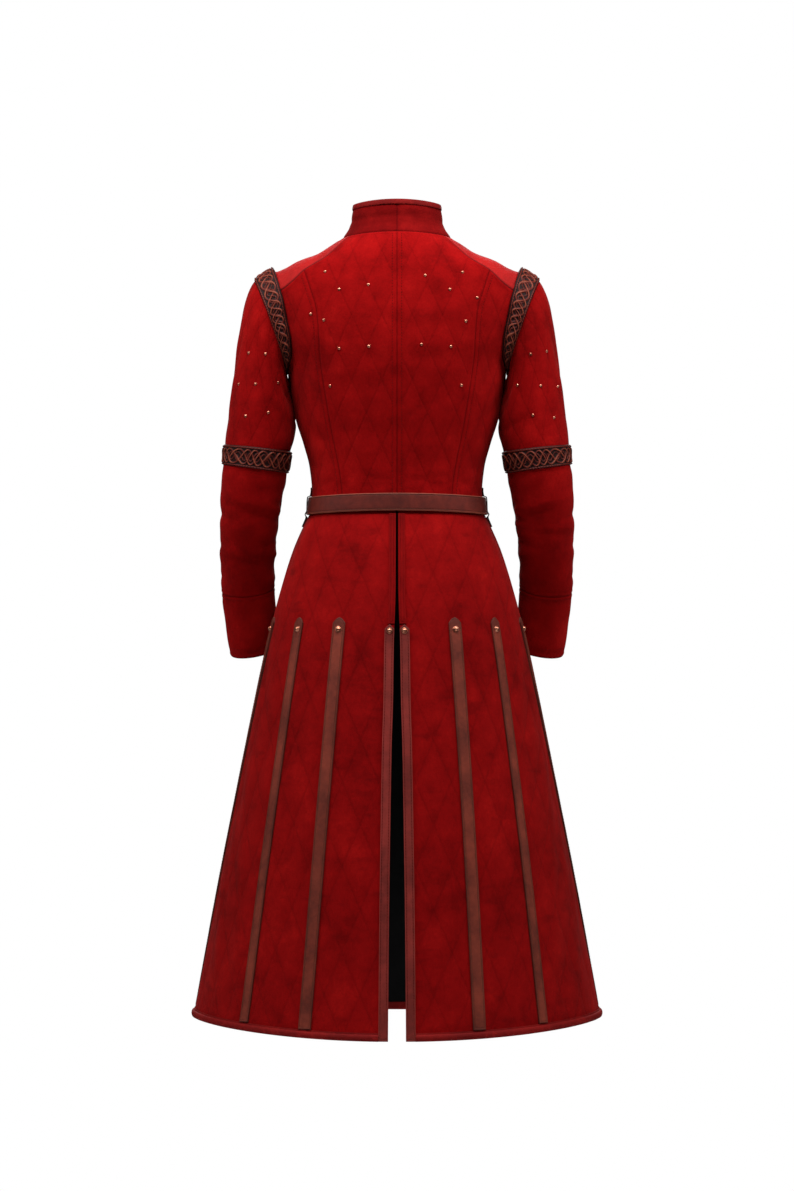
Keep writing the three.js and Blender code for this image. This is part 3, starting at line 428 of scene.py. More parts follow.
# ----------------------------------------------------------------------------------------- meshes
def add_mesh(name, points, faces, kinds=None, values=None, sharp=0.7):
    """A mesh object of points in millimetres and arrays of faces with the same number of corners.
    `kinds` gives each face its material's place, `values` names one number for each point, and
    edges steeper than `sharp`, in radians, stay sharp."""
    mesh = bpy.data.meshes.new(name)
    points = points.reshape(-1, 3) * MM
    counts = np.concatenate([np.full(len(block), block.shape[1]) for block in faces])
    corners = np.concatenate([block.ravel() for block in faces])
    mesh.vertices.add(len(points))
    mesh.vertices.foreach_set("co", points.ravel().astype(np.float32))
    mesh.loops.add(len(corners))
    mesh.loops.foreach_set("vertex_index", corners.astype(np.int32))
    mesh.polygons.add(len(counts))
    starts = np.concatenate([[0], np.cumsum(counts)[:-1]])
    mesh.polygons.foreach_set("loop_start", starts.astype(np.int32))
    mesh.polygons.foreach_set("loop_total", counts.astype(np.int32))
    if kinds is not None:
        mesh.polygons.foreach_set("material_index", kinds.astype(np.int32))
    for label, numbers in (values or {}).items():
        made = mesh.attributes.new(label, "FLOAT", "POINT")
        made.data.foreach_set("value", np.ravel(numbers).astype(np.float32))
    mesh.update(calc_edges=True)
    mesh.polygons.foreach_set("use_smooth", np.ones(len(counts), bool))
    mesh.set_sharp_from_angle(angle=sharp)
    mesh.validate()
    piece = bpy.data.objects.new(name, mesh)
    bpy.context.scene.collection.objects.link(piece)
    return piece


def turned_out(points, faces):
    """The faces, turned round if they enclose the points inside out."""
    flat = points.reshape(-1, 3)
    volume = 0.0
    for block in faces:
        for k in range(1, block.shape[1] - 1):
            a, b, c = (flat[block[:, j]] for j in (0, k, k + 1))
            volume += np.sum(np.cross(a, b) * c)
    return faces if volume > 0 else [block[:, ::-1] for block in faces]


def quads(rows, columns, rows_close=False, columns_close=True):
    """Faces between the neighbours of a grid of points, which may close in either direction."""
    i = np.arange(rows if rows_close else rows - 1)[:, None]
    j = np.arange(columns if columns_close else columns - 1)[None]
    row, next_row = i * columns, (i + 1) % rows * columns
    next_j = (j + 1) % columns
    corners = np.broadcast_arrays(row + j, row + next_j, next_row + next_j, next_row + j)
    return np.stack([corner.ravel() for corner in corners], axis=1)


def wall_faces(rows, columns, around_too):
    """Quads of a wall: its outer face, its inner face and its edges, with their kinds 0, 1 and 0."""
    outer = quads(rows, columns, columns_close=around_too)
    under = rows * columns
    blocks = [outer, outer[:, ::-1] + under]
    k = np.arange(columns if around_too else columns - 1)
    low, low_next = k, (k + 1) % columns
    last = (rows - 1) * columns
    blocks.append(np.stack([low_next, low, low + under, low_next + under], axis=1))
    blocks.append(np.stack([low, low_next, low_next + under, low + under], axis=1) + last)
    if not around_too:
        r = np.arange(rows - 1) * columns
        blocks.append(np.stack([r, r + columns, r + columns + under, r + under], axis=1))
        s = r + columns - 1
        blocks.append(np.stack([s + columns, s, s + under, s + columns + under], axis=1))
    kinds = np.concatenate([np.full(len(b), 1 if n == 1 else 0) for n, b in enumerate(blocks)])
    return blocks, kinds


def add_wall(name, outer, inner, values, around_too=False):
    """A closed wall between two grids of points, with the same values on both faces."""
    blocks, kinds = wall_faces(*outer.shape[:2], around_too)
    points = np.concatenate([outer.reshape(-1, 3), inner.reshape(-1, 3)])
    doubled = {label: np.tile(np.ravel(numbers), 2) for label, numbers in values.items()}
    return add_mesh(name, points, turned_out(points, blocks), kinds, doubled)


HALVES = {"right": 1, "left": -1}


def on_half(points, half):
    """Places or directions of the right half, mirrored for the left one."""
    return points * (HALVES[half], 1, 1)


# ----------------------------------------------------------------------------- seams of the bodice
FINE = 4.5  # the spacing of a panel's points
EDGE_POINTS = 400
SIDE_TURN = 90.0  # the side seams


def line_of(turn, z):
    return np.stack(np.broadcast_arrays(turn, z), axis=-1)


def yoke_seam(side):
    """The seam below the yoke behind or in front, from the neck to the armhole."""
    start = neck_point(YOKE_NECK[side])
    x = np.linspace(yoke_lines["x"][0], yoke_lines["x"][-1], EDGE_POINTS)
    line_z = yoke_z[side](x)
    line_z = line_z + (start[1] - line_z[0]) * (1 - smooth(x, x[0], YOKE_SETTLED))
    line = line_of(turn_at(x, line_z, side == "front"), line_z)
    line[0] = start
    line[-1] = armhole_point(YOKE_CORNER if side == "back" else -YOKE_CORNER)
    return line


YOKE_NECK = {"back": 62.0, "front": 112.0}  # the angles round the neck between which the yoke lies
YOKE_SETTLED = 110.0
YOKE_CORNER = 60.0  # the yoke meets the armhole this far round it, either side of its top
PRINCESS_HEAD_X = 149.0

heights = np.linspace(WAIST_Z, yoke_z["back"](PRINCESS_HEAD_X), EDGE_POINTS)
princess = line_of(turn_at(princess_x(heights), heights), heights)
heights = np.linspace(WAIST_Z, ARMPIT_Z, EDGE_POINTS)
side_seam = line_of(SIDE_TURN, heights)
yoke_back, yoke_front = yoke_seam("back"), yoke_seam("front")
head = int(np.argmin(np.abs(on_body(yoke_back)[:, 0] - PRINCESS_HEAD_X)))
princess[-1] = yoke_back[head]
neck_back = neck_point(np.linspace(0, YOKE_NECK["back"], EDGE_POINTS))
neck_yoke = neck_point(np.linspace(YOKE_NECK["back"], YOKE_NECK["front"], EDGE_POINTS))
neck_lap = math.degrees(math.asin(LAP / NECK_HALF))
neck_front = neck_point(np.linspace(YOKE_NECK["front"], 180 + neck_lap, EDGE_POINTS))
armhole_behind = armhole_point(np.linspace(180, YOKE_CORNER, EDGE_POINTS))
armhole_ahead = armhole_point(np.linspace(180, 360 - YOKE_CORNER, EDGE_POINTS))
armhole_above = armhole_point(np.linspace(YOKE_CORNER, -YOKE_CORNER, EDGE_POINTS))
princess_turn = princess[0, 0]


def lap_turn(z):
    """The turn of the left front's edge, past the centre front."""
    return turn_at(-LAP, z, True)


def vent_turn(z):
    """The turn of the vent's edge."""
    return turn_at(vent_open(z), z)


def side_turn(z):
    return SIDE_TURN + 0 * z


def belt_middle(turn):
    """The height of the belt's middle, which droops at the sides."""
    return BELT_Z - BELT_DROOP * np.sin(np.radians(turn)) ** 2


# ----------------------------------------------------------------------------------- sleeve shape
def ring(place, angle):
    """A point on a sleeve ring, round from its outermost point (0) over the back (90)."""
    a = np.radians(angle)
    outer = stack(ring_at["outX"](place), ring_at["forward"](place), ring_at["outZ"](place))
    inner = stack(ring_at["inX"](place), ring_at["forward"](place), ring_at["inZ"](place))
    tip = np.radians(ring_at["tip"](place))
    deep = stack(0, -np.cos(tip), -np.sin(tip)) * (ring_at["depth"](place) * np.sin(a))[..., None]
    return (outer + inner) / 2 + (outer - inner) / 2 * np.cos(a)[..., None] + deep


def sleeve(place, angle):
    """The sleeve's surface: its rings, with the armhole's own shape fading out of the first ones."""
    own = on_body(armhole_point(angle)) - ring(np.zeros(np.shape(angle)), angle)
    return ring(place, angle) + own * ring_at["fade"](place)[..., None]


def sleeve_out(place, angle):
    """The outward direction there, from the steps to places just beside it."""
    ahead = sleeve(place, angle + 1) - sleeve(place, angle - 1)
    down = sleeve(place + 0.05, angle) - sleeve(place - 0.05, angle)
    return unit(np.cross(ahead, down))


# Where two walls meet at an angle they share one mitre: a seam's places and its direction there.
armhole_angles = np.linspace(0, 360, 361)
armhole_seam = armhole_point(armhole_angles)
armhole_mitre = unit(body_out(armhole_seam[:, 0], armhole_seam[:, 1])
                     + sleeve_out(np.zeros(armhole_angles.shape), armhole_angles))
neck_angles = np.linspace(0, 180 + neck_lap, 361)
neck_seam = neck_point(neck_angles)
neck_outward = stack(np.sin(np.radians(neck_angles)) / NECK_HALF,
                     -np.cos(np.radians(neck_angles)) / NECK_DEPTH, 0)
COLLAR_LEAN = (0, 0, 0.45)
neck_mitre = unit(body_out(neck_seam[:, 0], neck_seam[:, 1]) + unit(neck_outward) + COLLAR_LEAN)


def gradient_out(places):
    """The outward direction of a grid of places, from the steps to their neighbours."""
    out = unit(np.cross(np.gradient(places, axis=1), np.gradient(places, axis=0)))
    return np.where(out[..., 2:] < 0, -out, out)


def yoke_surface(u, v):
    """The yoke's places, outward directions and edges. It is stretched between its four seams and
    sags by the product of two half sine waves."""
    edges = [on_body(spaced(edge, parts)) for edge, parts in (
        (yoke_back, u), (yoke_front, u), (neck_yoke, v), (armhole_above, v))]
    places = patch(*edges)
    across, along = share_of(edges[0])[None, :], share_of(edges[2])[:, None]
    places[..., 2] -= YOKE_SAG * np.sin(np.pi * across) * np.sin(np.pi * along)
    return places, gradient_out(places), edges


u = np.linspace(0, 1, 61)
yoke_outs = yoke_surface(u, u)[1]
yoke_mitres = []
for edge, row in ((yoke_back, 0), (yoke_front, -1)):
    line = spaced(edge, u)
    yoke_mitres.append((on_body(line), unit(body_out(line[:, 0], line[:, 1]) + yoke_outs[row])))

MITRE_REACH = 5.0


def mitred(place, out, *seams):
    """Outward directions turned into a shared mitre close to each seam."""
    for places, directions in seams:
        far, which = nearest(place, places)
        out = unit(mix(out, directions[which], bell(far / MITRE_REACH)[..., None]))
    return out


armhole_mitres = (on_body(armhole_seam), armhole_mitre)
neck_mitres = (on_body(neck_seam), neck_mitre)

# ------------------------------------------------------------------------------------------ relief
ROLL = 0.9  # how deep cloth rolls in at a sewn edge
ROLL_WIDTH = 1.3
TOPSTITCH = 7.5  # a row of stitches runs this far from a seam, and holds the cloth flat
RIDGE = 0.4  # between the seam and that row the cloth stands up a little
FREE = 10.0  # the quilting has its full swell this far past a row of stitches, a strip or a binding


def seam_roll(seam):
    """The cloth rolls in at a seam and swells before the row of stitches beside it."""
    return RIDGE * bell((seam - 4) / 1.7) - ROLL * bell(seam / ROLL_WIDTH)


def past_stitches(seam):
    """Rises from 0 at the row of stitches to 1 where the quilting swells freely."""
    return smooth(seam, TOPSTITCH, TOPSTITCH + FREE)


def quilted(a, b, wide, high, a0, b0):
    """Two families of stitched lines that cross as tall diamonds: a/wide + b/high and their
    difference are whole numbers on the lines."""
    a, b = (a - a0) / wide, (b - b0) / high
    return a + b, a - b


def plain(like):
    """Values of cloth without stitched lines: every place lies midway between them."""
    return np.full(like.shape, 0.5), np.full(like.shape, 0.5)


def pillow(first, second):
    """The padding between the lines: the lines lie low, and it swells by the 0.6th power of
    |sin pi first sin pi second|."""
    return np.abs(np.sin(np.pi * first) * np.sin(np.pi * second)) ** 0.6


def creased(a, b, rows, side):
    """Soft troughs, and ridges where a depth is negative. Each falls off as a bell along its
    length and across it: depth exp(-(along/long)^2 - (across/wide)^2). side 0 is on both halves."""
    total = np.zeros(np.shape(a))
    for x, z, long, wide, tilt, deep, own in each_row(rows):
        if own in (0, side):
            c, s = math.cos(math.radians(tilt)), math.sin(math.radians(tilt))
            along, across = (a - x) * c + (b - z) * s, (b - z) * c - (a - x) * s
            total -= deep * np.exp(-((along / long) ** 2) - (across / wide) ** 2)
    return total


WAVES = 9


def uneven(a, b, size):
    """A gentle unevenness: waves of random direction and start, about `size` long, of height 1."""
    total = np.zeros(np.broadcast(a, b).shape)
    for way, start, stretch in randoms.uniform((0, 0, 0.6), (np.pi, 2 * np.pi, 1.6), (WAVES, 3)):
        total += np.sin((a * np.cos(way) + b * np.sin(way)) * 2 * np.pi / (size * stretch) + start)
    return total / math.sqrt(WAVES)


# ---------------------------------------------------------------------------------- quilted panels
made = {}  # every piece, by the name of the solid whose place it takes, or by its own


def add_cloth(name, half, place, out, relief, values, lapped, around_too=False):
    """One half of a panel: its outer face stands out by the relief, and its lining is plain."""
    base = lifted(place, out) if lapped and half == "left" else place
    piece = add_wall(f"sewn_{name}_{half}", on_half(base + out * relief[..., None], half),
                     on_half(base - out * CLOTH, half), values, around_too)
    piece["flat"] = flat_size(place)
    made[f"{name}_{half}"] = piece


PILLOW_LEVEL = 0.35  # the share of a pillow's height that the panel's own surface lies at


def cloth_panel(name, place, out, quilt, seam, lay, mitres, swell, lapped=False, around_too=False):
    """A quilted panel and its mirrored twin. `quilt` holds both families of stitched lines, `seam`
    the distance to the nearest sewn edge, and `lay` gives the further relief of each half."""
    out = mitred(place, out, *mitres)
    rise = past_stitches(seam)
    puff = pillow(*quilt)
    for half, side in HALVES.items():
        relief = seam_roll(seam) + rise * ((puff - PILLOW_LEVEL) * swell + lay(side))
        values = {"seam": seam, "line_a": quilt[0], "line_b": quilt[1], "rise": relief, "puff": puff * rise}
        add_cloth(name, half, place, out, relief, values, lapped, around_too)


def flat_size(place):
    """A panel's greatest width and length along its surface, and its area, in metres."""
    step_u = np.linalg.norm(np.diff(place, axis=1), axis=-1)
    step_v = np.linalg.norm(np.diff(place, axis=0), axis=-1)
    cross = np.cross(place[:-1, 1:] - place[1:, :-1], place[1:, 1:] - place[:-1, :-1])
    area = np.linalg.norm(cross, axis=-1).sum() / 2
    return [step_u.sum(axis=1).max() * MM, step_v.sum(axis=0).max() * MM, area * MM * MM]


def oblong_size(length, width):
    """The same of a plain strip."""
    return [length * MM, width * MM, length * width * MM * MM]


def near_seams(place, *lines):
    """The distance to the nearest of several seams, each a line of (turn, z) or of places."""
    found = [nearest(place, on_body(line) if line.shape[-1] == 2 else line)[0] for line in lines]
    return np.minimum.reduce(found)


# ------------------------------------------------------------------------------------ the panels
BACK_QUILT = dict(wide=48.5, high=104.0, a0=0.0, b0=-184.0)
SKIRT_QUILT = dict(wide=58.0, high=132.0, a0=29.0, b0=-610.0)
SLEEVE_QUILT = dict(wide=36.0, high=102.0, a0=8.0, b0=160.0)
# How far the padding swells between the stitched lines.
BACK_SWELL = 1.2
FRONT_SWELL = 0.96
YOKE_SWELL = 0.9
SKIRT_SWELL = 1.1
UPPER_SLEEVE_SWELL = 1.1
LOWER_SLEEVE_SWELL = 0.495
CUFF_SWELL = 0.385
# How far from the waist or the belt's middle the cloth lies flat, and from where it is free.
BODICE_PRESSED = (12.0, 26.0)
SKIRT_PRESSED = (16.0, 34.0)

# The main creases of the bodice: distance round from the centre back, height, half length, half
# width, tilt, depth, and the half they are on (0 is both).
bodice_creases = table("a b long wide tilt deep side", [
    [40, -392, 34, 5, 4, 0.9, 0],
    [70, -402, 30, 4.5, -8, 1.0, 1],
    [62, -380, 26, 5, 10, 0.8, -1],
    [24, -404, 26, 4, -3, 0.8, -1],
    [105, -396, 34, 6, -14, 1.2, 0],
    [150, -232, 60, 9, 68, 1.8, 1],
    [146, -246, 66, 9, 66, 1.9, -1],
    [172, -205, 52, 8, 62, 1.7, 0],
    [163, -290, 58, 9, 52, 1.3, 0],
    [186, -268, 40, 8, 40, 1.5, 1],
    [128, -330, 44, 9, 40, 0.9, -1],
    [150, -372, 40, 7, 12, 1.2, 0],
    [190, -384, 34, 6, -6, 1.2, 0],
    [230, -250, 55, 9, 118, 1.6, 0],
    [262, -210, 55, 9, 112, 1.5, 0],
    [245, -385, 36, 6, 8, 1.1, 0],
    [300, -400, 34, 6, -8, 0.9, 1],
    [310, -392, 30, 5, 10, 0.9, -1],
    [96, -210, 60, 16, 80, -0.8, 0],
    [60, -110, 50, 18, 12, 0.7, 0],
])


def bodice_lay(a, z, side):
    """The bodice's creases and unevenness, pressed flat under the belt."""
    free = smooth(z - WAIST_Z, *BODICE_PRESSED)
    return (creased(a, z, bodice_creases, side) + 0.35 * uneven(a, z, 62)) * free


def bodice_panel(name, points, seams, mitres, swell=BACK_SWELL, lapped=False):
    """A panel of the bodice, from a grid of (turn, z) points."""
    turn, z = points[..., 0], points[..., 1]
    a = around(turn, z)
    place = body(turn, z)
    cloth_panel(name, place, body_out(turn, z), quilted(a, z, **BACK_QUILT), near_seams(place, *seams),
                lambda side: bodice_lay(a, z, side), mitres, swell, lapped)


def tall(line, step=FINE):
    """Shares of the length of a line of (turn, z) points, with a sewn edge at both ends."""
    return shares(length_along(on_body(line))[-1], step)


def waist(low, high):
    """The waist seam between two turns."""
    return line_of(np.linspace(low, high, EDGE_POINTS), WAIST_Z)


centre_back = line_of(0.0, np.linspace(WAIST_Z, neck_back[0, 1], EDGE_POINTS))
back_edge = np.concatenate([princess, yoke_back[:head][::-1]])
waist_back = waist(0, princess_turn)
v, u = tall(back_edge), tall(waist_back, 4.2)
back_points = patch(spaced(waist_back, u), spaced(neck_back, u),
                    spaced(centre_back, v), spaced(back_edge, v, len(princess) - 1))
bodice_panel("back", back_points, [centre_back, princess, yoke_back, neck_back],
             [neck_mitres, yoke_mitres[0]])

side_top = yoke_back[head:]
side_edge = np.concatenate([side_seam, armhole_behind[1:]])
waist_side = waist(princess_turn, SIDE_TURN)
v, u = tall(side_edge), tall(waist_side, 4.2)
side_points = patch(spaced(waist_side, u), spaced(side_top, u),
                    spaced(princess, v), spaced(side_edge, v, len(side_seam) - 1))
bodice_panel("side_back", side_points, [princess, yoke_back, side_seam, armhole_behind],
             [armhole_mitres, yoke_mitres[0]])

front_edge = np.concatenate([side_seam, armhole_ahead[1:], yoke_front[:-1][::-1]])
heights = np.linspace(WAIST_Z, neck_front[-1, 1], EDGE_POINTS)
lap_edge = line_of(lap_turn(heights), heights)
lap_edge[-1] = neck_front[-1]
waist_front = waist(SIDE_TURN, lap_turn(WAIST_Z))
v, u = tall(front_edge, 5.5), tall(waist_front, 5.5)
front_points = patch(spaced(waist_front, u), spaced(neck_front, u),
                     spaced(front_edge, v, len(side_seam) - 1), spaced(lap_edge, v))
bodice_panel("front", front_points, [side_seam, armhole_ahead, yoke_front, neck_front, lap_edge],
             [armhole_mitres, yoke_mitres[1], neck_mitres], FRONT_SWELL, lapped=True)

# ------------------------------------------------------------------------------------- the yokes
YOKE_LENGTH, YOKE_WIDTH = 150.0, 75.0  # roughly its size, for the spacing of its points
places, outs, edges = yoke_surface(shares(YOKE_LENGTH, 4.2), shares(YOKE_WIDTH, 3.6))
seam = near_seams(places, *edges)
cloth_panel("yoke", places, outs, plain(seam), seam,
            lambda side: 0.25 * uneven(places[..., 0], places[..., 1], 40),
            [*yoke_mitres, armhole_mitres, neck_mitres], YOKE_SWELL)

# ----------------------------------------------------------------------------------- the sleeves
# Creases of the sleeve, in the same way: by distance round from the middle of its back towards the
# inner side, and down from the armhole.
sleeve_creases = table("a b long wide tilt deep side", [
    [92, 318, 42, 7, 6, 3.9, 0],
    [70, 341, 46, 6, -9, 3.1, 1],
    [84, 347, 40, 6, 8, 3.1, -1],
    [100, 366, 46, 6.5, 3, 3.9, 0],
    [58, 384, 40, 6, -14, 2.2, 0],
    [96, 402, 44, 6.5, 7, 3.5, 1],
    [104, 398, 40, 6.5, -4, 3.5, -1],
    [72, 424, 46, 6, 10, 2.3, 0],
    [100, 443, 40, 6, -5, 3.1, 0],
    [78, 466, 38, 6, 6, 2.2, 1],
    [86, 470, 42, 6, -8, 2.2, -1],
    [100, 488, 36, 5.5, 5, 2.6, 0],
    [0, 330, 44, 7, 12, 1.8, 0],
    [-20, 372, 44, 7, -8, 1.6, 1],
    [-10, 418, 44, 7, 9, 1.6, -1],
    [-70, 345, 40, 7, 6, 1.9, 0],
    [-90, 400, 40, 7, -6, 2.2, 0],
    [-84, 452, 40, 7, 5, 1.9, 0],
    [84, 66, 40, 8, 46, 2.2, 0],
    [66, 104, 44, 9, 52, 1.7, 0],
    [96, 150, 38, 8, 30, 1.5, 0],
    [40, 176, 36, 7, 8, 0.9, 1],
    [70, 232, 44, 7, 4, 1.4, 0],
    [50, 248, 44, 6, -8, 1.1, 1],
    [58, 244, 44, 6, 9, 1.1, -1],
    [20, 66, 50, 9, 74, 1.0, 0],
    [-84, 120, 44, 8, 120, 1.6, 0],
    [-60, 236, 44, 7, 4, 1.1, 0],
    [180, 250, 44, 7, 4, 1.1, 0],
])
ELBOW, CUFF, WRIST = 8.0, 19.0, 21.0  # the rings where the sleeve's pieces meet, and the last one
SLEEVE_COLUMNS = 92
SLEEVE_GIRTH = 400.0  # roughly, all the way down
INNER_SEAM = 196.0  # the angle of the seam along the forearm's inner side
SEAMLESS = 60.0  # the upper sleeve has none there, as if it were this far away
SIDE_SWELL = 1.4  # the upper sleeve fills out against the body
# How far down the middle of the sleeve's back each place on it lies.
places_down = np.linspace(0, WRIST, 2101)
down_line = length_along(sleeve(places_down, np.full(places_down.shape, 90.0)))


def down_to(place):
    """How far down the back of the sleeve a ring lies."""
    return np.interp(place, places_down, down_line)


def sleeve_grid(start, stop):
    """Rings evenly spaced down the back of the sleeve, close together at its sewn edges."""
    run = mix(down_to(start), down_to(stop), shares(down_to(stop) - down_to(start), FINE))
    place = np.interp(run, down_line, places_down)[:, None]
    angle = np.linspace(0, 360, SLEEVE_COLUMNS, endpoint=False)[None, :]
    place, angle = np.broadcast_arrays(place, angle)
    return place, angle, sleeve(place, angle), sleeve_out(place, angle)


def sleeve_round(points):
    """The distance round a ring, from the middle of its back towards the inner side."""
    steps = np.linalg.norm(points - np.roll(points, 1, axis=1), axis=-1)
    run = np.cumsum(steps, axis=1)
    girth = run[:, -1:]
    behind = SLEEVE_COLUMNS // 4
    return np.mod(run - run[:, behind:behind + 1] + girth / 2, girth) - girth / 2


def sleeve_piece(name, start, stop, swell):
    """A stretch of the sleeve from one ring to another, sewn at both ends and along its inner side."""
    place, angle, points, out = sleeve_grid(start, stop)
    a = sleeve_round(points)
    b = down_to(place)
    ends = np.minimum(*(np.abs(b - down_to(at)) for at in (start, stop)))
    inner_seam = np.abs(angle - INNER_SEAM) / 360 * SLEEVE_GIRTH + SEAMLESS * (place < ELBOW)
    seam = np.minimum(ends, inner_seam)
    quilt = quilted(a, b, **SLEEVE_QUILT) if start == 0 else plain(seam)
    side_swell = SIDE_SWELL * bell((angle - 180) / 26) * smooth(6.5 - place, 0, 2)
    cloth_panel(name, points, out, quilt, seam,
                lambda side: creased(a, b, sleeve_creases, side) + 0.4 * uneven(a, b, 48) + side_swell,
                [armhole_mitres] if start == 0 else [], swell, around_too=True)


sleeve_piece("upper_sleeve", 0, ELBOW, UPPER_SLEEVE_SWELL)
sleeve_piece("lower_sleeve", ELBOW, CUFF, LOWER_SLEEVE_SWELL)
sleeve_piece("cuff", CUFF, WRIST, CUFF_SWELL)

# ------------------------------------------------------------------------------------ the collar
collar_rise = follow(table("up draw", [[0, 0], [0.28, 0.58], [0.6, 0.79], [1, 1]]), "up", "draw")


def collar(angle, up):
    """The collar stands on the neckline, draws in to a smaller ellipse all the way up and ends in
    a sloping top. Its outward direction leans out at the neckline."""
    sine, cosine = np.sin(np.radians(angle)), np.cos(np.radians(angle))
    end = np.where(cosine > 0, COLLAR_TOP["back"], COLLAR_TOP["front"])
    top = mix(COLLAR_TOP["side"], end, cosine ** 2)
    base = neck_point(np.abs(angle))
    draw = collar_rise(up)
    place = stack(mix(NECK_HALF, COLLAR_HALF, draw) * sine,
                  -mix(NECK_DEPTH, COLLAR_DEPTH, draw) * cosine,
                  mix(base[..., 1] + SEAM, top, up))
    mitre = np.stack([np.interp(np.abs(angle), neck_angles, neck_mitre[:, k]) for k in range(3)], axis=-1)
    lean = mitre[..., 2] / np.hypot(mitre[..., 0], mitre[..., 1])
    level = unit(stack(sine / COLLAR_HALF, -cosine / COLLAR_DEPTH, 0))
    return place, unit(level + stack(0, 0, mix(lean, COLLAR_TAPER, smooth(up, 0, 0.35))))


# Creases of the collar, by distance round from the centre back and share of its height.
collar_creases = table("a b long wide tilt deep side", [
    [-30, 0.52, 60, 0.07, 0, 0.9, 0],
    [40, 0.6, 50, 0.06, 0, 0.8, 0],
    [10, 0.3, 70, 0.06, 0, 0.5, 0],
    [110, 0.45, 50, 0.08, 0, 0.8, 0],
    [-120, 0.5, 50, 0.08, 0, 0.8, 0],
    [0, 0.46, 130, 0.1, 0, 0.9, 0],
])
COLLAR_END = 179.8
COLLAR_HEIGHT = 56.0
COLLAR_ROUND, COLLAR_FOOT = 440.0, 480.0  # the lengths of its upper and its lower edge
collar_angles = mix(-COLLAR_END, COLLAR_END, shares(COLLAR_FOOT, 4.5))
collar_ups = shares(COLLAR_HEIGHT, 3.4)
place, out = collar(*np.broadcast_arrays(collar_angles[None], collar_ups[:, None]))
run = collar_angles[None] / 360 * COLLAR_ROUND + 0 * collar_ups[:, None]
low_edge = collar_ups[:, None] * COLLAR_HEIGHT + 0 * run
seam = np.minimum(np.minimum(low_edge, np.abs(run)), COLLAR_HEIGHT - low_edge)
seam = np.minimum(seam, (COLLAR_END - np.abs(collar_angles[None])) / 360 * COLLAR_ROUND)
relief = (0.5 * smooth(seam, 1, 12) - 0.5 - 1.1 * bell(low_edge / 1.6) - 0.5 * bell(run / 1.2)
          + creased(run, collar_ups[:, None] + 0 * run, collar_creases, 0)
          + 0.25 * uneven(run, low_edge, 50))
line_a, line_b = plain(seam)
made["collar"] = add_wall("sewn_collar", place + out * relief[..., None], place - out * CLOTH,
                          values={"seam": seam, "line_a": line_a, "line_b": line_b,
                                  "rise": relief, "puff": smooth(seam, 1, 12)})
made["collar"]["flat"] = flat_size(place)

# ------------------------------------------------------------------------------------- the skirt
# Each strap has a turn at its top, and one at the hem for the right half and for the left. The
# side one stands a little off the skirt, where it crosses the side seam.
straps = table("wide top right left stand", [
    [21, 26.9, 23, 26, 0], [18, 50.4, 44.4, 47.2, 0], [18, 80, 98, 98, 0.3]])
STRAP_NAMES = ("inner", "middle", "side")


def strap_turn(strap, z, half):
    """The turn of a strap's middle, even from its top to the hem."""
    return mix(straps["top"][strap], straps[half][strap],
               (z - STRAP_TOP_Z) / (HEM_SIDE_Z - STRAP_TOP_Z))


# Creases of the skirt, by distance round from the centre back and height.
skirt_creases = table("a b long wide tilt deep side", [
    [330, -860, 190, 17, 84, 2.4, 0],
    [375, -930, 230, 18, 82, 2.6, 1],
    [368, -900, 210, 18, 83, 2.5, -1],
    [420, -1010, 220, 20, 80, 2.6, 0],
    [290, -1080, 190, 22, 85, -2.0, 0],
    [352, -1110, 170, 20, 82, -2.2, 0],
    [262, -700, 120, 14, 80, 1.7, 1],
    [270, -690, 110, 14, 81, 1.7, -1],
    [150, -1050, 170, 24, 88, -1.4, 1],
    [172, -960, 190, 26, 87, 1.3, -1],
    [60, -760, 160, 20, 92, 1.0, 0],
    [84, -1090, 160, 24, 91, -1.2, 0],
    [150, -560, 60, 14, 74, 1.2, 0],
    [96, -520, 46, 12, 82, 1.0, 0],
    [40, -640, 90, 16, 90, -0.8, 0],
    [210, -540, 60, 13, 68, 1.4, 0],
    [470, -1000, 220, 20, 96, 2.3, 0],
    [520, -900, 200, 20, 98, 2.2, 0],
    [585, -1040, 190, 22, 97, 2.3, 0],
    [640, -820, 160, 20, 96, 1.9, 0],
    [500, -1120, 150, 20, 97, -1.9, 0],
    [610, -1130, 150, 22, 96, -1.6, 0],
    [340, -560, 70, 13, 108, 1.5, 0],
    [420, -640, 90, 15, 102, 1.5, 0],
])


SKIRT_SLOPE = 1.02  # the length down the slope of the skirt for each millimetre of height


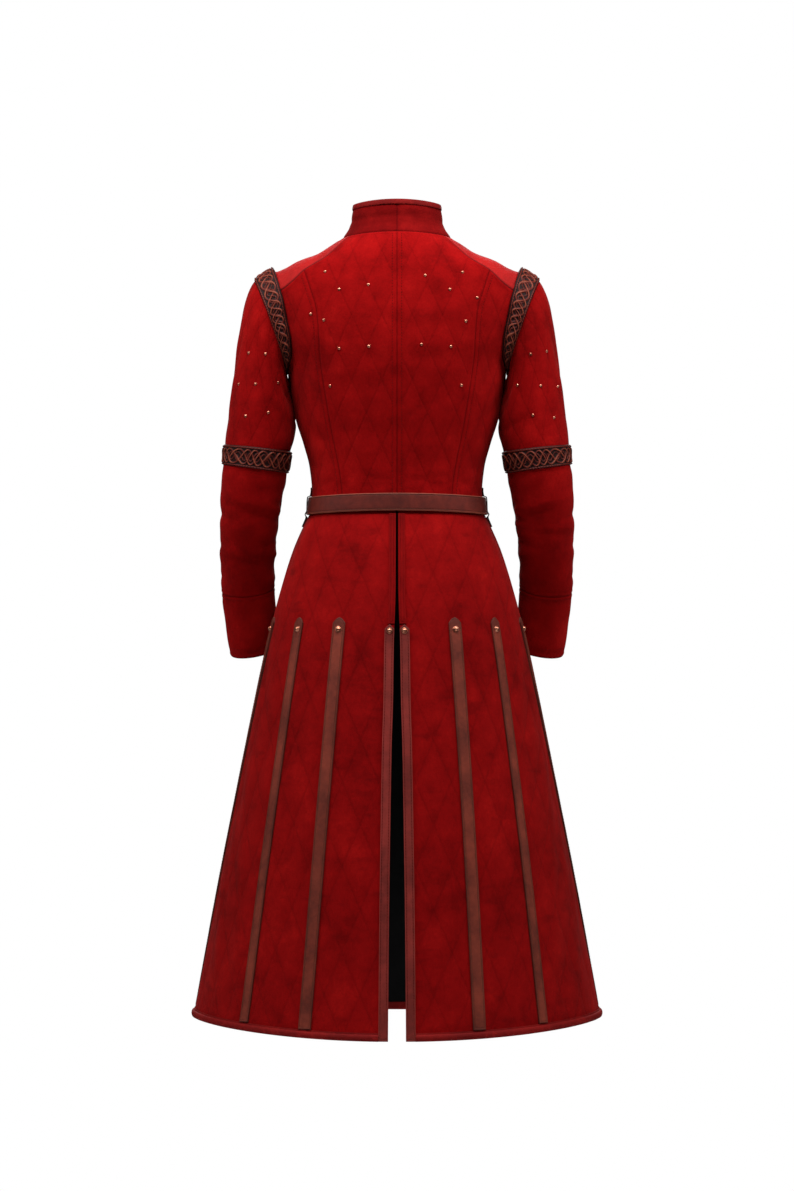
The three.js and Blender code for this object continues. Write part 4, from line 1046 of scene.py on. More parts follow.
def skirt_piece(name, edge_from, edge_to, columns, rows, back):
    """A skirt panel between two edges, each a turn at a height. Its rows end at the hem's slope."""
    level = mix(WAIST_Z, hem_z(0.0), rows)[:, None]
    turn = mix(edge_from(level), edge_to(level), columns[None])
    z = mix(WAIST_Z, hem_z(turn), rows[:, None])
    place, out = body(turn, z), body_out(turn, z)
    a = around(turn, z)
    first, last = a - a[:, :1], a[:, -1:] - a
    hem = (z - hem_z(turn)) * SKIRT_SLOPE
    seam = np.minimum(np.minimum(first, last), np.minimum(hem, WAIST_Z - z))
    free = smooth(np.abs(z - belt_middle(turn)), *SKIRT_PRESSED)
    flat = smooth(hem, BINDING_WRAP, BINDING_WRAP + FREE)
    if back:
        flat = flat * smooth(first, VENT_STRIP_WIDTH, VENT_STRIP_WIDTH + FREE)
    over = smooth(z, STRAP_TOP_Z, STRAP_TOP_Z + 14)
    quilt = quilted(a, z, **SKIRT_QUILT)
    puff = pillow(*quilt)
    rolled = np.minimum(last if back else first, 60)
    edge = first if back else last
    for half, side in HALVES.items():
        bare = 1.0
        for strap, wide in enumerate(straps["wide"]):
            beside = np.abs(a - around(strap_turn(strap, z, half), z)) - wide / 2
            bare = bare * np.maximum(smooth(beside, 0, 9), over)
        rise = past_stitches(seam) * flat * free * bare
        lay = creased(a, z, skirt_creases, side) + 0.45 * uneven(a, z, 95)
        relief = ((puff - PILLOW_LEVEL) * SKIRT_SWELL + lay) * rise
        relief = relief - (ROLL * bell(rolled / ROLL_WIDTH) + 0.7 * bell(edge)) * bare
        values = {"seam": seam, "line_a": quilt[0], "line_b": quilt[1], "rise": relief, "puff": puff * rise}
        add_cloth(name, half, place, out, relief, values, not back)


# Roughly the skirt's length and the widths of a back and a front panel, for the spacing of points.
SKIRT_LENGTH, SKIRT_BACK_WIDTH, SKIRT_FRONT_WIDTH = 860.0, 330.0, 340.0
CUT = (False, False)  # no sewn edge at either end of the rows
skirt_piece("skirt_back", vent_turn, side_turn, shares(SKIRT_BACK_WIDTH, 4.6),
            shares(SKIRT_LENGTH, 5.2, CUT), back=True)
skirt_piece("skirt_front", side_turn, lap_turn, shares(SKIRT_FRONT_WIDTH, 6.0),
            shares(SKIRT_LENGTH, 6.5, CUT), back=False)


# ------------------------------------------------------------------------------- leather strips
def strip_columns(half):
    """Places across a strip from -1 to 1: close together at its rounded and creased edges."""
    near = np.array([0, 0.35, 0.8, 1.4, 2.0, 2.5, 3.0, 3.8])
    low = np.concatenate([near, [half * 0.62]]) - half
    return np.concatenate([low, [0], -low[::-1]]) / half


LAID = 0.05  # a strip's under face lies this close to the cloth
EDGE_ROW = 2.5  # a strip's stitches and its pressed line lie this far from its edge


def strip_piece(name, edges, top, point, thick, width, crease=EDGE_ROW, tip_power=1.7, low=None, stand=0.0):
    """A strip of leather laid on the skirt, with a pointed or rounded tip. Its top face is rounded
    off at the edges, and has a pressed line beside them."""
    s = strip_columns(width / 2)[None]
    tip = top - point * np.abs(s) ** tip_power
    for half in HALVES:
        foot = hem_z(sum(edges(HEM_SIDE_Z, half)) / 2) + BINDING_WRAP + SEAM if low is None else low
        rows = shares(top - foot, 5.0)[:, None]
        z = mix(tip, foot, rows)
        start, stop = edges(z, half)
        turn = mix(start, stop, (s + 1) / 2)
        place, out = body(turn, z), body_out(turn, z)
        edge = np.minimum((1 - np.abs(s)) * width / 2, np.minimum(tip - z, z - foot) * 0.9)
        rise = thick - 0.5 * bell(edge / 0.7) - 0.28 * bell((edge - crease) / 0.45)
        rise = rise + 0.1 * uneven(s * width + 0 * z, z, 55)
        face = on_half(place + out * (stand + REST + rise)[..., None], half)
        piece = add_wall(f"sewn_{name}_{half}", face, on_half(place + out * LAID, half),
                         values={"edge": edge, "down": top - z, "rise": rise - thick})
        piece["flat"] = flat_size(place)
        made[f"{name}_{half}"] = piece


def as_turn(width, turn, z):
    """A width along the skirt, as a turn."""
    return width / np.linalg.norm(body(turn + 0.5, z) - body(turn - 0.5, z), axis=-1)


def vent_edge(width):
    """Both edges of a strip along the vent, as turns at a height."""
    def edges(z, half="right"):
        start = vent_turn(z)
        return start, start + as_turn(width, start + 2, z)
    return edges


def strap_edges(strap):
    """Both edges of a strap, as turns at a height."""
    def edges(z, half):
        turn = strap_turn(strap, z, half)
        reach = as_turn(straps["wide"][strap], turn, z) / 2
        return turn - reach, turn + reach
    return edges


STRIP_TOP_Z = -625.0
STRIP_FOOT = 2.0
FACING_TOP_Z = BELT_Z - BELT_HEIGHT / 2 - 4
strip_piece("vent_facing", vent_edge(VENT_FACING_WIDTH), FACING_TOP_Z, 0, VENT_FACING_THICK,
            VENT_FACING_WIDTH, crease=2.0, low=STRIP_TOP_Z + 1)
strip_piece("vent_strip", vent_edge(VENT_STRIP_WIDTH), STRIP_TOP_Z, 7, VENT_STRIP_THICK,
            VENT_STRIP_WIDTH, tip_power=1.0, low=hem_z(3.0) - STRIP_FOOT)
for number, strap_name in enumerate(STRAP_NAMES):
    strip_piece(f"strap_{strap_name}", strap_edges(number), STRAP_TOP_Z, 9, STRAP_THICK,
                straps["wide"][number], stand=straps["stand"][number])


# --------------------------------------------------------------------------------- embossed bands
PLAIT_LENGTH = 45.0  # of one wave of the thick strands
TWIST_LENGTH = 4.4  # of one turn of the ropes
MARGIN = 3.4  # the strands stay this far from the band's edges
ROPE_INSET, ROPE_HALF, ROPE_PROUD = 1.9, 1.1, 1.4


def band_relief(s, w, girth, half):
    """Interlace between two ropes. Three strands plait as sine waves a third apart, and each lies
    over or under by the sine of twice its phase; two thin strands cross inside them. All wander a
    little: two slower sines move their phase."""
    field = half - MARGIN
    height = np.zeros(np.shape(s))
    laps = round(girth / PLAIT_LENGTH)
    way = s / girth * 2 * np.pi
    wander = 0.45 * np.sin(3 * way + 1.0) + 0.3 * np.sin(7 * way + 2.3)
    # Waves, strands, how far they reach from the middle, half their thickness, and their height.
    for waves, strands, reach, thick, proud in ((laps, 3, field - 1.6, 1.35, 1.45),
                                                (2 * laps, 2, field * 0.5, 0.85, 1.0)):
        for strand in range(strands):
            phase = way * waves + 2 * np.pi * strand / strands + 0.6 + wander
            slope = reach * 2 * np.pi * waves / girth * np.cos(phase)
            off = np.abs(w - reach * np.sin(phase)) / np.sqrt(1 + slope ** 2)
            crown = np.sqrt(np.clip(1 - (off / thick) ** 2, 0, 1))
            lap = 1 + 0.28 * np.sin(2 * phase)
            height = np.maximum(height, crown ** 0.7 * proud * lap)
    rope_off = np.abs(np.abs(w) - (half - ROPE_INSET))
    twist = 0.75 + 0.25 * np.sin(2 * np.pi * (s + 1.4 * w) / girth * round(girth / TWIST_LENGTH))
    rope = np.sqrt(np.clip(1 - (rope_off / ROPE_HALF) ** 2, 0, 1)) * ROPE_PROUD * twist
    return np.maximum(height, rope)


GROUND_DEPTH = 1.6  # the ground between the strands is sunk this deep
BAND_COLUMNS = 500
BAND_ROWS = 38


def band_faces(rows, columns):
    """Quads of a band: a fine outer face, closed rows, and an inner face of one row."""
    j = np.arange(columns)
    k = (j + 1) % columns
    under = rows * columns
    inner = np.stack([under + columns + j, under + columns + k, under + k, under + j], axis=1)
    low = np.stack([k, j, j + under, k + under], axis=1)
    last = (rows - 1) * columns
    high = np.stack([last + j, last + k, under + columns + k, under + columns + j], axis=1)
    return [quads(rows, columns), inner, low, high]


def band_piece(name, start, stop):
    """An embossed band round the sleeve from one ring to another, over its cloth."""
    along = np.linspace(0, 1, BAND_ROWS)[:, None]
    place = mix(start, stop, along)
    angle = np.linspace(0, 360, BAND_COLUMNS, endpoint=False)[None]
    place, angle = np.broadcast_arrays(place, angle)
    points, out = sleeve(place, angle), sleeve_out(place, angle)
    if start == 0:
        out = mitred(points, out, armhole_mitres)
    middle = points[BAND_ROWS // 2]
    steps = np.linalg.norm(middle - np.roll(middle, 1, axis=0), axis=-1)
    girth = steps.sum()
    s = np.cumsum(steps)[None] + 0 * along
    wide = np.linalg.norm(points[-1] - points[0], axis=-1)[None]
    reach = float(np.median(wide)) / 2
    w = (along * 2 - 1) * reach + 0 * s
    emboss = band_relief(s, w, girth, reach)
    rise = BAND_THICK - GROUND_DEPTH + emboss - bell((reach - np.abs(w)) / 0.6)
    outer = points + out * (REST + rise)[..., None]
    inner = (points + out * REST)[[0, -1]]
    both = np.concatenate([outer.reshape(-1, 3), inner.reshape(-1, 3)])
    values = {"rise": np.concatenate([emboss.ravel(), np.zeros(2 * BAND_COLUMNS)])}
    for half in HALVES:
        points = on_half(both, half)
        faces = turned_out(points, band_faces(BAND_ROWS, BAND_COLUMNS))
        piece = add_mesh(f"sewn_{name}_{half}", points, faces, values=values)
        piece["flat"] = oblong_size(girth, 2 * reach)
        made[f"{name}_{half}"] = piece


band_piece("armhole_band", 0.0, 2.0)
band_piece("elbow_band", ELBOW - 1, ELBOW + 1)


# ----------------------------------------------------------------------- rolled and swept pieces
def add_bar(name, points, closed, **options):
    """A bar of rings of points, joined into a ring itself or with a face over each end."""
    rows, sides = points.shape[:2]
    faces = [quads(rows, sides, rows_close=closed)]
    if not closed:
        end = np.arange(sides)
        faces += [end[::-1][None], (end + (rows - 1) * sides)[None]]
    return add_mesh(name, points, turned_out(points, faces), **options)


def swept(name, line, out, past, section, closed=False):
    """A section carried along a line: each of its corners lies so far out from the line and so far
    past it."""
    points = line[:, None] + out[:, None] * section[None, :, :1] + past[:, None] * section[None, :, 1:]
    return add_bar(name, points, closed)


def rolled_section(proud, height, lip, past):
    """A rolled edge: a stitched lip, a bulge outside, a fold round the edge, and a thin turn-in
    behind. It ends so far past the cloth's edge."""
    way = np.radians(np.linspace(-72, 90, 12))
    bulge = np.stack([REST + 0.8 + (proud - 0.8) * np.cos(way) ** 0.8,
                      mix(lip - height, past, (1 + np.sin(way)) / 2)], axis=-1)
    behind = -CLOTH - 1
    lips = [[REST, -height], [REST + 0.7, -height + 0.2], [REST + 0.9, lip - height - 0.3]]
    folds = [[-1.5, past], [-CLOTH + 0.4, past - 0.2], [behind, 0.4], [behind, -height],
             [-CLOTH - REST, -height], [-CLOTH - REST, REST], [REST, REST]]
    return np.concatenate([lips, bulge, folds])


def hem_line(edge_from, edge_to, count):
    """The hem's places, outward directions and the way past its edge."""
    level = hem_z(0.0)
    turn = np.linspace(edge_from(level), edge_to(level), count)
    z = hem_z(turn)
    way = unit(body(turn, z) - body(turn, z + 30))
    return body(turn, z), body_out(turn, z), way


def strip_end(z):
    """The turn just past the vent's strip, where the hem's binding starts."""
    return vent_edge(VENT_STRIP_WIDTH + SEAM)(z)[1]


HEM_TAPE, COLLAR_TAPE = 33.0, 22.0  # the widths of the bindings laid flat
HEM_POINTS = 110
for name, start, stop in (("back", strip_end, side_turn), ("front", side_turn, lap_turn)):
    line, out, way = hem_line(start, stop, HEM_POINTS)
    along = way_along(line)
    line[0] += along[0] * SEAM / 2
    line[-1] -= along[-1] * SEAM / 2
    section = rolled_section(proud=4.1, height=BINDING_WRAP, lip=2.8, past=2.2)
    girth_wave = uneven(around(np.linspace(0, SIDE_TURN, HEM_POINTS), line[:, 2]), line[:, 2], 60)
    line = line + out * 0.2 * girth_wave[:, None]
    for half in HALVES:
        base = lifted(line, out) if name == "front" and half == "left" else line
        piece = swept(f"sewn_hem_binding_{name}_{half}", on_half(base, half), on_half(out, half),
                      on_half(way, half), section)
        piece["flat"] = oblong_size(length_along(line)[-1], HEM_TAPE)
        made[f"hem_binding_{name}_{half}"] = piece

line, out = collar(collar_angles, np.ones(collar_angles.shape))
below = collar(collar_angles, np.full(collar_angles.shape, 0.9))[0]
made["collar_binding"] = swept("sewn_collar_binding", line, out, unit(line - below),
                               rolled_section(proud=1.5, height=7.0, lip=0.5, past=1.4))
made["collar_binding"]["flat"] = oblong_size(length_along(line)[-1], COLLAR_TAPE)


# ------------------------------------------------------------------------------------------ belt
BELT_START = 174.0  # the turn where the belt starts, at the buckle's heel
TAIL_TURN = -238.0  # the turn where it ends, once round the coat and over its start
TAIL_TIP = 4.0  # how much sooner its edges end than its middle, in degrees
TAIL_RISE = BELT_THICK + 0.8
TURN_LENGTH = 2.0  # millimetres to a degree round the waist
NO_TIP = 60.0  # a value of "down" that lies far from any tip
BAR_SIDES = 12


def tail_height(turn):
    """How far the belt stands off the coat: its tail climbs over its start."""
    return BELT_STAND + TAIL_RISE * smooth(-turn, 170, 182)


def belt_place(turn, across, height):
    """A place on the belt, which is flat from its upper to its lower edge: across is from 1 to -1."""
    upper, out_up = round_body(turn, belt_middle(turn) + BELT_HEIGHT / 2, height)
    lower, out_low = round_body(turn, belt_middle(turn) - BELT_HEIGHT / 2, height)
    part = ((1 - across) / 2)[..., None]
    return mix(upper, lower, part), unit(out_up + out_low)


belt_across = -strip_columns(BELT_HEIGHT / 2)[None]
belt_run = np.linspace(BELT_START, TAIL_TURN, 360)[:, None]
tip = TAIL_TIP * (1 - np.abs(belt_across) ** 2.2) * smooth(-belt_run, -TAIL_TURN - 10, -TAIL_TURN)
belt_turn = belt_run - tip
belt_across = np.broadcast_to(belt_across, belt_turn.shape)
place, out = belt_place(belt_turn, belt_across, tail_height(belt_run + 0 * belt_turn))
edge = np.minimum((1 - np.abs(belt_across)) * BELT_HEIGHT / 2,
                  np.minimum(belt_run - TAIL_TURN, BELT_START - belt_run) * TURN_LENGTH + 0 * belt_turn)
rise = BELT_THICK - 0.55 * bell(edge / 0.8) - 0.3 * bell((edge - EDGE_ROW) / 0.5)
made["belt"] = add_wall("sewn_belt", place + out * rise[..., None], place,
                        values={"edge": edge, "rise": rise - BELT_THICK, "down": NO_TIP + 0 * edge})
middle_line = place[:, place.shape[1] // 2 - 1]
made["belt"]["flat"] = oblong_size(length_along(middle_line)[-1], BELT_HEIGHT)


def tube(name, line, reference, radius, closed=False):
    """A round bar along a line, with its section set by a direction that is never along it."""
    tangent = way_along(line, closed)
    across = unit(np.cross(reference, tangent))
    up = np.cross(tangent, across)
    a = ring_angles(BAR_SIDES)
    points = line[:, None] + np.broadcast_to(radius, len(line))[:, None, None] * (
        across[:, None] * np.cos(a)[None, :, None] + up[:, None] * np.sin(a)[None, :, None])
    return add_bar(name, points, closed, sharp=1.0)


FRAME_BAR = 3.0  # the buckle's frame, and its prong, are round bars
FRAME_REACH = BELT_HEIGHT / 2 + 1.2 + FRAME_BAR / 2
HEEL_TURN = -184.0
END_TURN = -167.0
HEEL_HEIGHT = BELT_STAND + FRAME_BAR / 2
END_HEIGHT = BELT_STAND + BELT_THICK + FRAME_BAR / 2 + 0.7
# The frame is a rounded oblong: the cosine and the sine of an angle, raised to a low power.
wide_way, high_way = (signed_power(f(ring_angles(64)), 0.28) for f in (np.cos, np.sin))
frame_turn = mix(HEEL_TURN, END_TURN, (wide_way + 1) / 2)
frame_height = mix(HEEL_HEIGHT, END_HEIGHT, smooth((wide_way + 1) / 2, 0, 1))
buckle_line, buckle_out = round_body(frame_turn, BELT_Z + high_way * FRAME_REACH, frame_height)
made["belt_buckle"] = tube("made_belt_buckle", buckle_line, buckle_out, FRAME_BAR / 2, closed=True)
PRONG = 2.4
prong_top = tail_height(HEEL_TURN) + BELT_THICK + 0.8 + PRONG / 2
prong_end = END_HEIGHT + FRAME_BAR / 2 + 2 * REST + PRONG / 2
parts = np.array([0, 0.02, 0.06, 0.12, 0.2, 0.35, 0.5, 0.65, 0.8, 0.9, 0.97, 1.0])
prong_turn = mix(HEEL_TURN - 0.2, END_TURN + 1.4, parts)
prong_height = mix(prong_top, prong_end, parts) + 0.8 * np.sin(np.pi * parts)
prong_height[0] = HEEL_HEIGHT + FRAME_BAR / 2
line, out = belt_place(prong_turn, np.zeros(len(parts)), prong_height)
made["belt_prong"] = tube("made_belt_prong", line, out * 0 + (0, 0, 1), PRONG / 2 * (1 - 0.35 * parts ** 3))

KEEPER_TURN = -210.0
KEEPER_THICK = 0.9
KEEPER_WIDTH = 9.0
KEEPER_REACH = BELT_HEIGHT / 2 + 1
keeper_z = belt_middle(KEEPER_TURN)
keeper_low = 2 * REST + KEEPER_THICK / 2
keeper_high = tail_height(KEEPER_TURN) + BELT_THICK + 0.4 + KEEPER_THICK / 2
keeper_up, keeper_deep = (signed_power(f(ring_angles(48)), 0.22) for f in (np.cos, np.sin))
line, out = round_body(np.full(keeper_up.shape, KEEPER_TURN), keeper_z + keeper_up * KEEPER_REACH,
                       mix(keeper_low, keeper_high, (keeper_deep + 1) / 2))
across_way = unit(np.cross((0, 0, 1), round_body(np.array([KEEPER_TURN]), keeper_z)[1]))
across_way = np.broadcast_to(across_way, line.shape)
thick_way = unit(np.cross(way_along(line, closed=True), across_way))
# The keeper's section, in shares of its thickness and its width.
box = np.array([[-0.5, -0.42], [0.5, -0.42], [0.56, 0], [0.5, 0.42], [-0.5, 0.42], [-0.56, 0]])
made["belt_keeper"] = swept("made_belt_keeper", line, thick_way, across_way,
                            box * (KEEPER_THICK, KEEPER_WIDTH), closed=True)

LOOP_WIDTH = 9.0
LOOP_THICK = 1.6
over_belt = BELT_STAND + BELT_THICK + 0.4
# How far the loop stands off the coat, by the distance up from the belt's middle.
loop_shape = table("up height", [
    [31, 0.8], [27, 0.9], [18, 1.8], [15.2, over_belt], [0, over_belt + 0.2],
    [-15.2, over_belt], [-18.5, 2.0], [-27, 1.1], [-33, 0.8],
])
loop_height = follow(loop_shape, "up", "height")
loop_up = np.linspace(loop_shape["up"][0], loop_shape["up"][-1], 60)[:, None]
s = strip_columns(LOOP_WIDTH / 2)[None]
z = belt_middle(SIDE_TURN) + loop_up
turn = SIDE_TURN + s * as_turn(LOOP_WIDTH, np.full(z.shape, SIDE_TURN), z) / 2
z = z + 0 * s
place, out = body(turn, z), body_out(turn, z)
edge = (1 - np.abs(s)) * LOOP_WIDTH / 2 + 0 * loop_up
under = loop_height(loop_up) + 0 * s
rise = LOOP_THICK - 0.4 * bell(edge / 0.6)
sewn_down = mix(under, -ROLL, smooth(np.abs(loop_up), BELT_HEIGHT / 2 + 1, BELT_HEIGHT / 2 + 4))
for half in HALVES:
    made[f"belt_loop_{half}"] = add_wall(
        f"sewn_belt_loop_{half}", on_half(place + out * (under + rise)[..., None], half),
        on_half(place + out * sewn_down[..., None], half),
        values={"edge": edge, "rise": rise - LOOP_THICK, "down": NO_TIP + 0 * edge})


# --------------------------------------------------------------------------- rivets, buttons, studs
ASKEW = (0.31, 0.2, 0.93)  # no axis of a turned piece lies along it
RIVET_SIDES, BUTTON_SIDES, STUD_SIDES = 24, 32, 10
BUTTONS = 7
BUTTON_ROW = (-72, -384)  # the heights of the first and the last button


def turned(name, places, outs, profile, sides):
    """Copies of a profile of radii and heights, each turned round its own axis, in one mesh."""
    across = unit(np.cross(outs, ASKEW))
    other = np.cross(outs, across)
    a = ring_angles(sides)
    radius, height = profile["radius"], profile["height"]
    rings = radius > 0
    count = int(rings.sum())
    flat = (across[:, None, None] * np.cos(a)[:, None] + other[:, None, None] * np.sin(a)[:, None])
    points = (places[:, None, None] + flat * radius[rings][None, :, None, None]
              + outs[:, None, None] * height[rings][None, :, None, None]).reshape(len(places), -1, 3)
    tip = places + outs * height[-1]
    points = np.concatenate([points, tip[:, None]], axis=1)
    k = np.arange(sides)
    top = (count - 1) * sides
    cap = np.stack([top + k, top + (k + 1) % sides, np.full(sides, count * sides)], axis=1)
    shift = (np.arange(len(places)) * points.shape[1])[:, None, None]
    blocks = [(block[None] + shift).reshape(-1, block.shape[1]) for block in (quads(count, sides), cap)]
    blocks.append((k[::-1][None, None] + shift).reshape(-1, sides))
    return add_mesh(name, points, turned_out(points, blocks), sharp=0.6)


rivet_profile = table("radius height", [
    [5, 0], [5, 0.6], [4.75, 0.9], [3.7, 1.1], [3.55, 1.5],
    [3.2, 2.3], [2.6, 3.0], [1.7, 3.6], [0.8, 3.85], [0, 3.9],
])
# Each rivet's turn, its height and the thickness that it stands on.
rivet_seats = {}
for number, strap_name in enumerate(STRAP_NAMES):
    rivet_seats[f"rivet_{strap_name}"] = (strap_turn(number, RIVET_Z, "right"), RIVET_Z,
                                          straps["stand"][number] + STRAP_THICK)
vent_rivet = vent_turn(RIVET_Z)
rivet_seats["rivet_vent"] = (vent_rivet + as_turn(VENT_STRIP_WIDTH, vent_rivet + 2, RIVET_Z) / 2,
                             RIVET_Z - 2, VENT_STRIP_THICK)
for name, (turn, z, thick) in rivet_seats.items():
    turn, z = np.array([turn]), np.array([z])
    out = body_out(turn, z)
    place = body(turn, z) + out * (REST + thick)
    for half in HALVES:
        made[f"{name}_{half}"] = turned(f"made_{name}_{half}", on_half(place, half), on_half(out, half),
                                        rivet_profile, RIVET_SIDES)

button_profile = table("radius height", [
    [8, 0], [8.7, 0.5], [9, 1.2], [8.8, 2.0], [8.2, 2.8], [7.4, 3.4],
    [6.6, 3.3], [5.8, 3.5], [4.6, 4.1], [2.6, 4.7], [0, 5.0],
])
for number, z in enumerate(np.linspace(*BUTTON_ROW, BUTTONS), start=1):
    seat, out = round_body(np.array([180.0]), np.array([z]), 2 * REST)
    made[f"button_{number}"] = turned(f"made_button_{number}", seat, out, button_profile, BUTTON_SIDES)

stud_profile = table("radius height", [
    [2.6, -0.6], [2.55, 0.2], [2.2, 0.9], [1.5, 1.45], [0.7, 1.7], [0, 1.78],
])
# Studs of the back, by the crossings of the quilting: across from the centre, and height.
back_studs = table("x z", [
    [-115, -61], [-92.5, -90], [-46, -83], [-138, -129],
    [-117, -139], [-92.5, -185], [-45, -182], [-107, -244],
    [105, -62], [84.5, -90], [45, -68], [128, -103],
    [110, -141], [86, -182], [39, -179], [103, -243],
])


def relief_at(name, places):
    """The points of a cloth panel's outer face that lie nearest to some places."""
    mesh = made[name].data
    points = np.empty(len(mesh.vertices) * 3, np.float32)
    mesh.vertices.foreach_get("co", points)
    points = points.reshape(-1, 3)
    points = points[:len(points) // 2] / MM  # the first half of them is the outer face
    found = nearest(places, points)[1]
    return points[found].astype(float)


def on_cloth(place, out, names):
    """Places moved out onto the relief of whichever panel lies nearest."""
    best, far = place.copy(), np.full(len(place), np.inf)
    for name in names:
        found = relief_at(name, place)
        gap = np.linalg.norm(found - place, axis=-1)
        height = np.sum((found - place) * out, axis=-1)[:, None]
        best = np.where((gap < far)[:, None], place + out * height, best)
        far = np.minimum(gap, far)
    return best


z = back_studs["z"]
turn = turn_at(np.abs(back_studs["x"]), z)
flip = stack(np.sign(back_studs["x"]), 1, 1)
place, out = body(turn, z) * flip, body_out(turn, z) * flip
seats = on_cloth(place, out, ["back_left", "back_right", "side_back_left", "side_back_right"])
made["studs_back"] = turned("made_studs_back", seats, out, stud_profile, STUD_SIDES)

# Studs of the sleeves, by the crossings of their quilting: how far out from the middle of the coat,
# and height. Each is there behind and in front.
sleeve_studs = {
    "right": table("x z", [
        [214, -190], [243, -186], [192, -242], [232, -240], [259, -240], [217, -291], [252, -291],
    ]),
    "left": table("x z", [
        [238, -188], [213, -190], [255, -238], [226, -238], [191, -237], [243, -289], [207, -286],
    ]),
}
NEVER = 1e6  # a distance that no place is chosen at
_, _, grid_points, grid_out = sleeve_grid(0, ELBOW)
grid_points, grid_out = grid_points.reshape(-1, 3), grid_out.reshape(-1, 3)
for half, wanted in sleeve_studs.items():
    aside = np.hypot(grid_points[:, 0] - wanted["x"][:, None], grid_points[:, 2] - wanted["z"][:, None])
    found = np.concatenate([(aside + NEVER * (facing * grid_out[:, 1] < 0)).argmin(axis=1)
                            for facing in (-1, 1)])
    place, out = grid_points[found], grid_out[found]
    seats = on_cloth(place, out, ["upper_sleeve_right"])
    made[f"studs_sleeve_{half}"] = turned(f"made_studs_sleeve_{half}", on_half(seats, half),
                                          on_half(out, half), stud_profile, STUD_SIDES)

# ------------------------------------------------------------------------------------- topstitching
STITCH = 3.0
STITCH_STEP = 4.7
SUNK = 0.2  # stitches in leather lie this deep in its face
STITCH_ARCH = 1.86  # the thick part of a stitch
STITCH_DIP = 0.25  # its ends lie this deep
stitch_ring = np.array([[0.42, 0.12], [0, 0.46], [-0.42, 0.12], [0, -0.22]])


def stitches(name, rows):
    """Rows of raised stitches, each a short thread of four sides with pointed ends. A row is a
    line, its outward directions, how far to its side it runs and how high above it."""
    seats = []
    for line, out, beside, high in rows:
        tangent = way_along(line)
        path = line + unit(np.cross(out, tangent)) * beside + out * high
        run = length_along(path)
        at = np.arange(STITCH_STEP, run[-1] - STITCH_STEP, STITCH_STEP)
        columns = np.concatenate([path, tangent, out], axis=-1)
        seats.append(np.stack([np.interp(at, run, columns[:, k]) for k in range(9)], axis=-1))
    seats = np.concatenate(seats)[:, None]
    centre, way, up = seats[..., :3], unit(seats[..., 3:6]), unit(seats[..., 6:])
    across = np.cross(way, up)
    ends = [centre + way * at - up * STITCH_DIP for at in (-STITCH / 2, STITCH / 2)]
    rings = [centre + way * at + across * stitch_ring[:, :1] + up * stitch_ring[:, 1:]
             for at in (-STITCH_ARCH / 2, STITCH_ARCH / 2)]
    points = np.concatenate([ends[0], rings[0], rings[1], ends[1]], axis=1)
    k = np.arange(4)
    low = np.stack([0 * k, 1 + (k + 1) % 4, 1 + k], axis=1)
    side = np.stack([1 + k, 1 + (k + 1) % 4, 5 + (k + 1) % 4, 5 + k], axis=1)
    high = np.stack([5 + k, 5 + (k + 1) % 4, 9 + 0 * k], axis=1)
    shift = (np.arange(len(points)) * 10)[:, None, None]
    blocks = [(block[None] + shift).reshape(-1, block.shape[1]) for block in (low, side, high)]
    return add_mesh(name, points, turned_out(points, blocks), sharp=math.pi)


def body_row(line, beside, high=0.0):
    """A row beside a seam of (turn, z) points, on the right half and mirrored on the left."""
    place, out = on_body(line), body_out(line[:, 0], line[:, 1])
    return [(on_half(place, half), on_half(out, half), side * beside, high)
            for half, side in HALVES.items()]


def strip_rows(edges, low, high, thick):
    """Two rows along a strip's long edges, on both halves."""
    z = np.linspace(high, low, 160)
    rows = []
    for number, half in enumerate(HALVES):
        for turn, beside in zip(edges(z, half), (EDGE_ROW, -EDGE_ROW)):
            rows.append(body_row(line_of(turn, z), beside, REST + thick - SUNK)[number])
    return rows


rows = body_row(centre_back, TOPSTITCH) + body_row(princess, -TOPSTITCH)
for place in (CUFF + 0.14, WRIST - 0.28):
    angle = np.linspace(0, 360, 200)
    at = np.full(angle.shape, place)
    line, out = sleeve(at, angle), sleeve_out(at, angle)
    rows += [(on_half(line, half), on_half(out, half), 0.0, 0.1) for half in HALVES]
made["stitches_cloth"] = stitches("made_stitches_cloth", rows)

rows = []
for number in range(len(STRAP_NAMES)):
    rows += strip_rows(strap_edges(number), HEM_SIDE_Z + 22, STRAP_TOP_Z - 12,
                       straps["stand"][number] + STRAP_THICK)
made["stitches_straps"] = stitches("made_stitches_straps", rows)
rows = strip_rows(vent_edge(VENT_STRIP_WIDTH), HEM_SIDE_Z + 16, STRIP_TOP_Z - 9, VENT_STRIP_THICK)
made["stitches_strips"] = stitches("made_stitches_strips", rows)
rows = []
run = np.linspace(BELT_START - 4, TAIL_TURN + 3, 700)
for side in (1, -1):
    across = np.full(run.shape, side * (1 - EDGE_ROW / (BELT_HEIGHT / 2)))
    line, out = belt_place(run, across, tail_height(run) + BELT_THICK - SUNK)
    rows.append((line, out, 0.0, 0.0))
made["stitches_belt"] = stitches("made_stitches_belt", rows)


# --------------------------------------------------------------------------------------- finishes
def colour(red, green, blue):
    """A colour of the screen's 0 to 255 scale, as linear light."""
    scale = [c / 255 for c in (red, green, blue)]
    return (*(((c + 0.055) / 1.055) ** 2.4 if c > 0.04 else c / 12.92 for c in scale), 1.0)


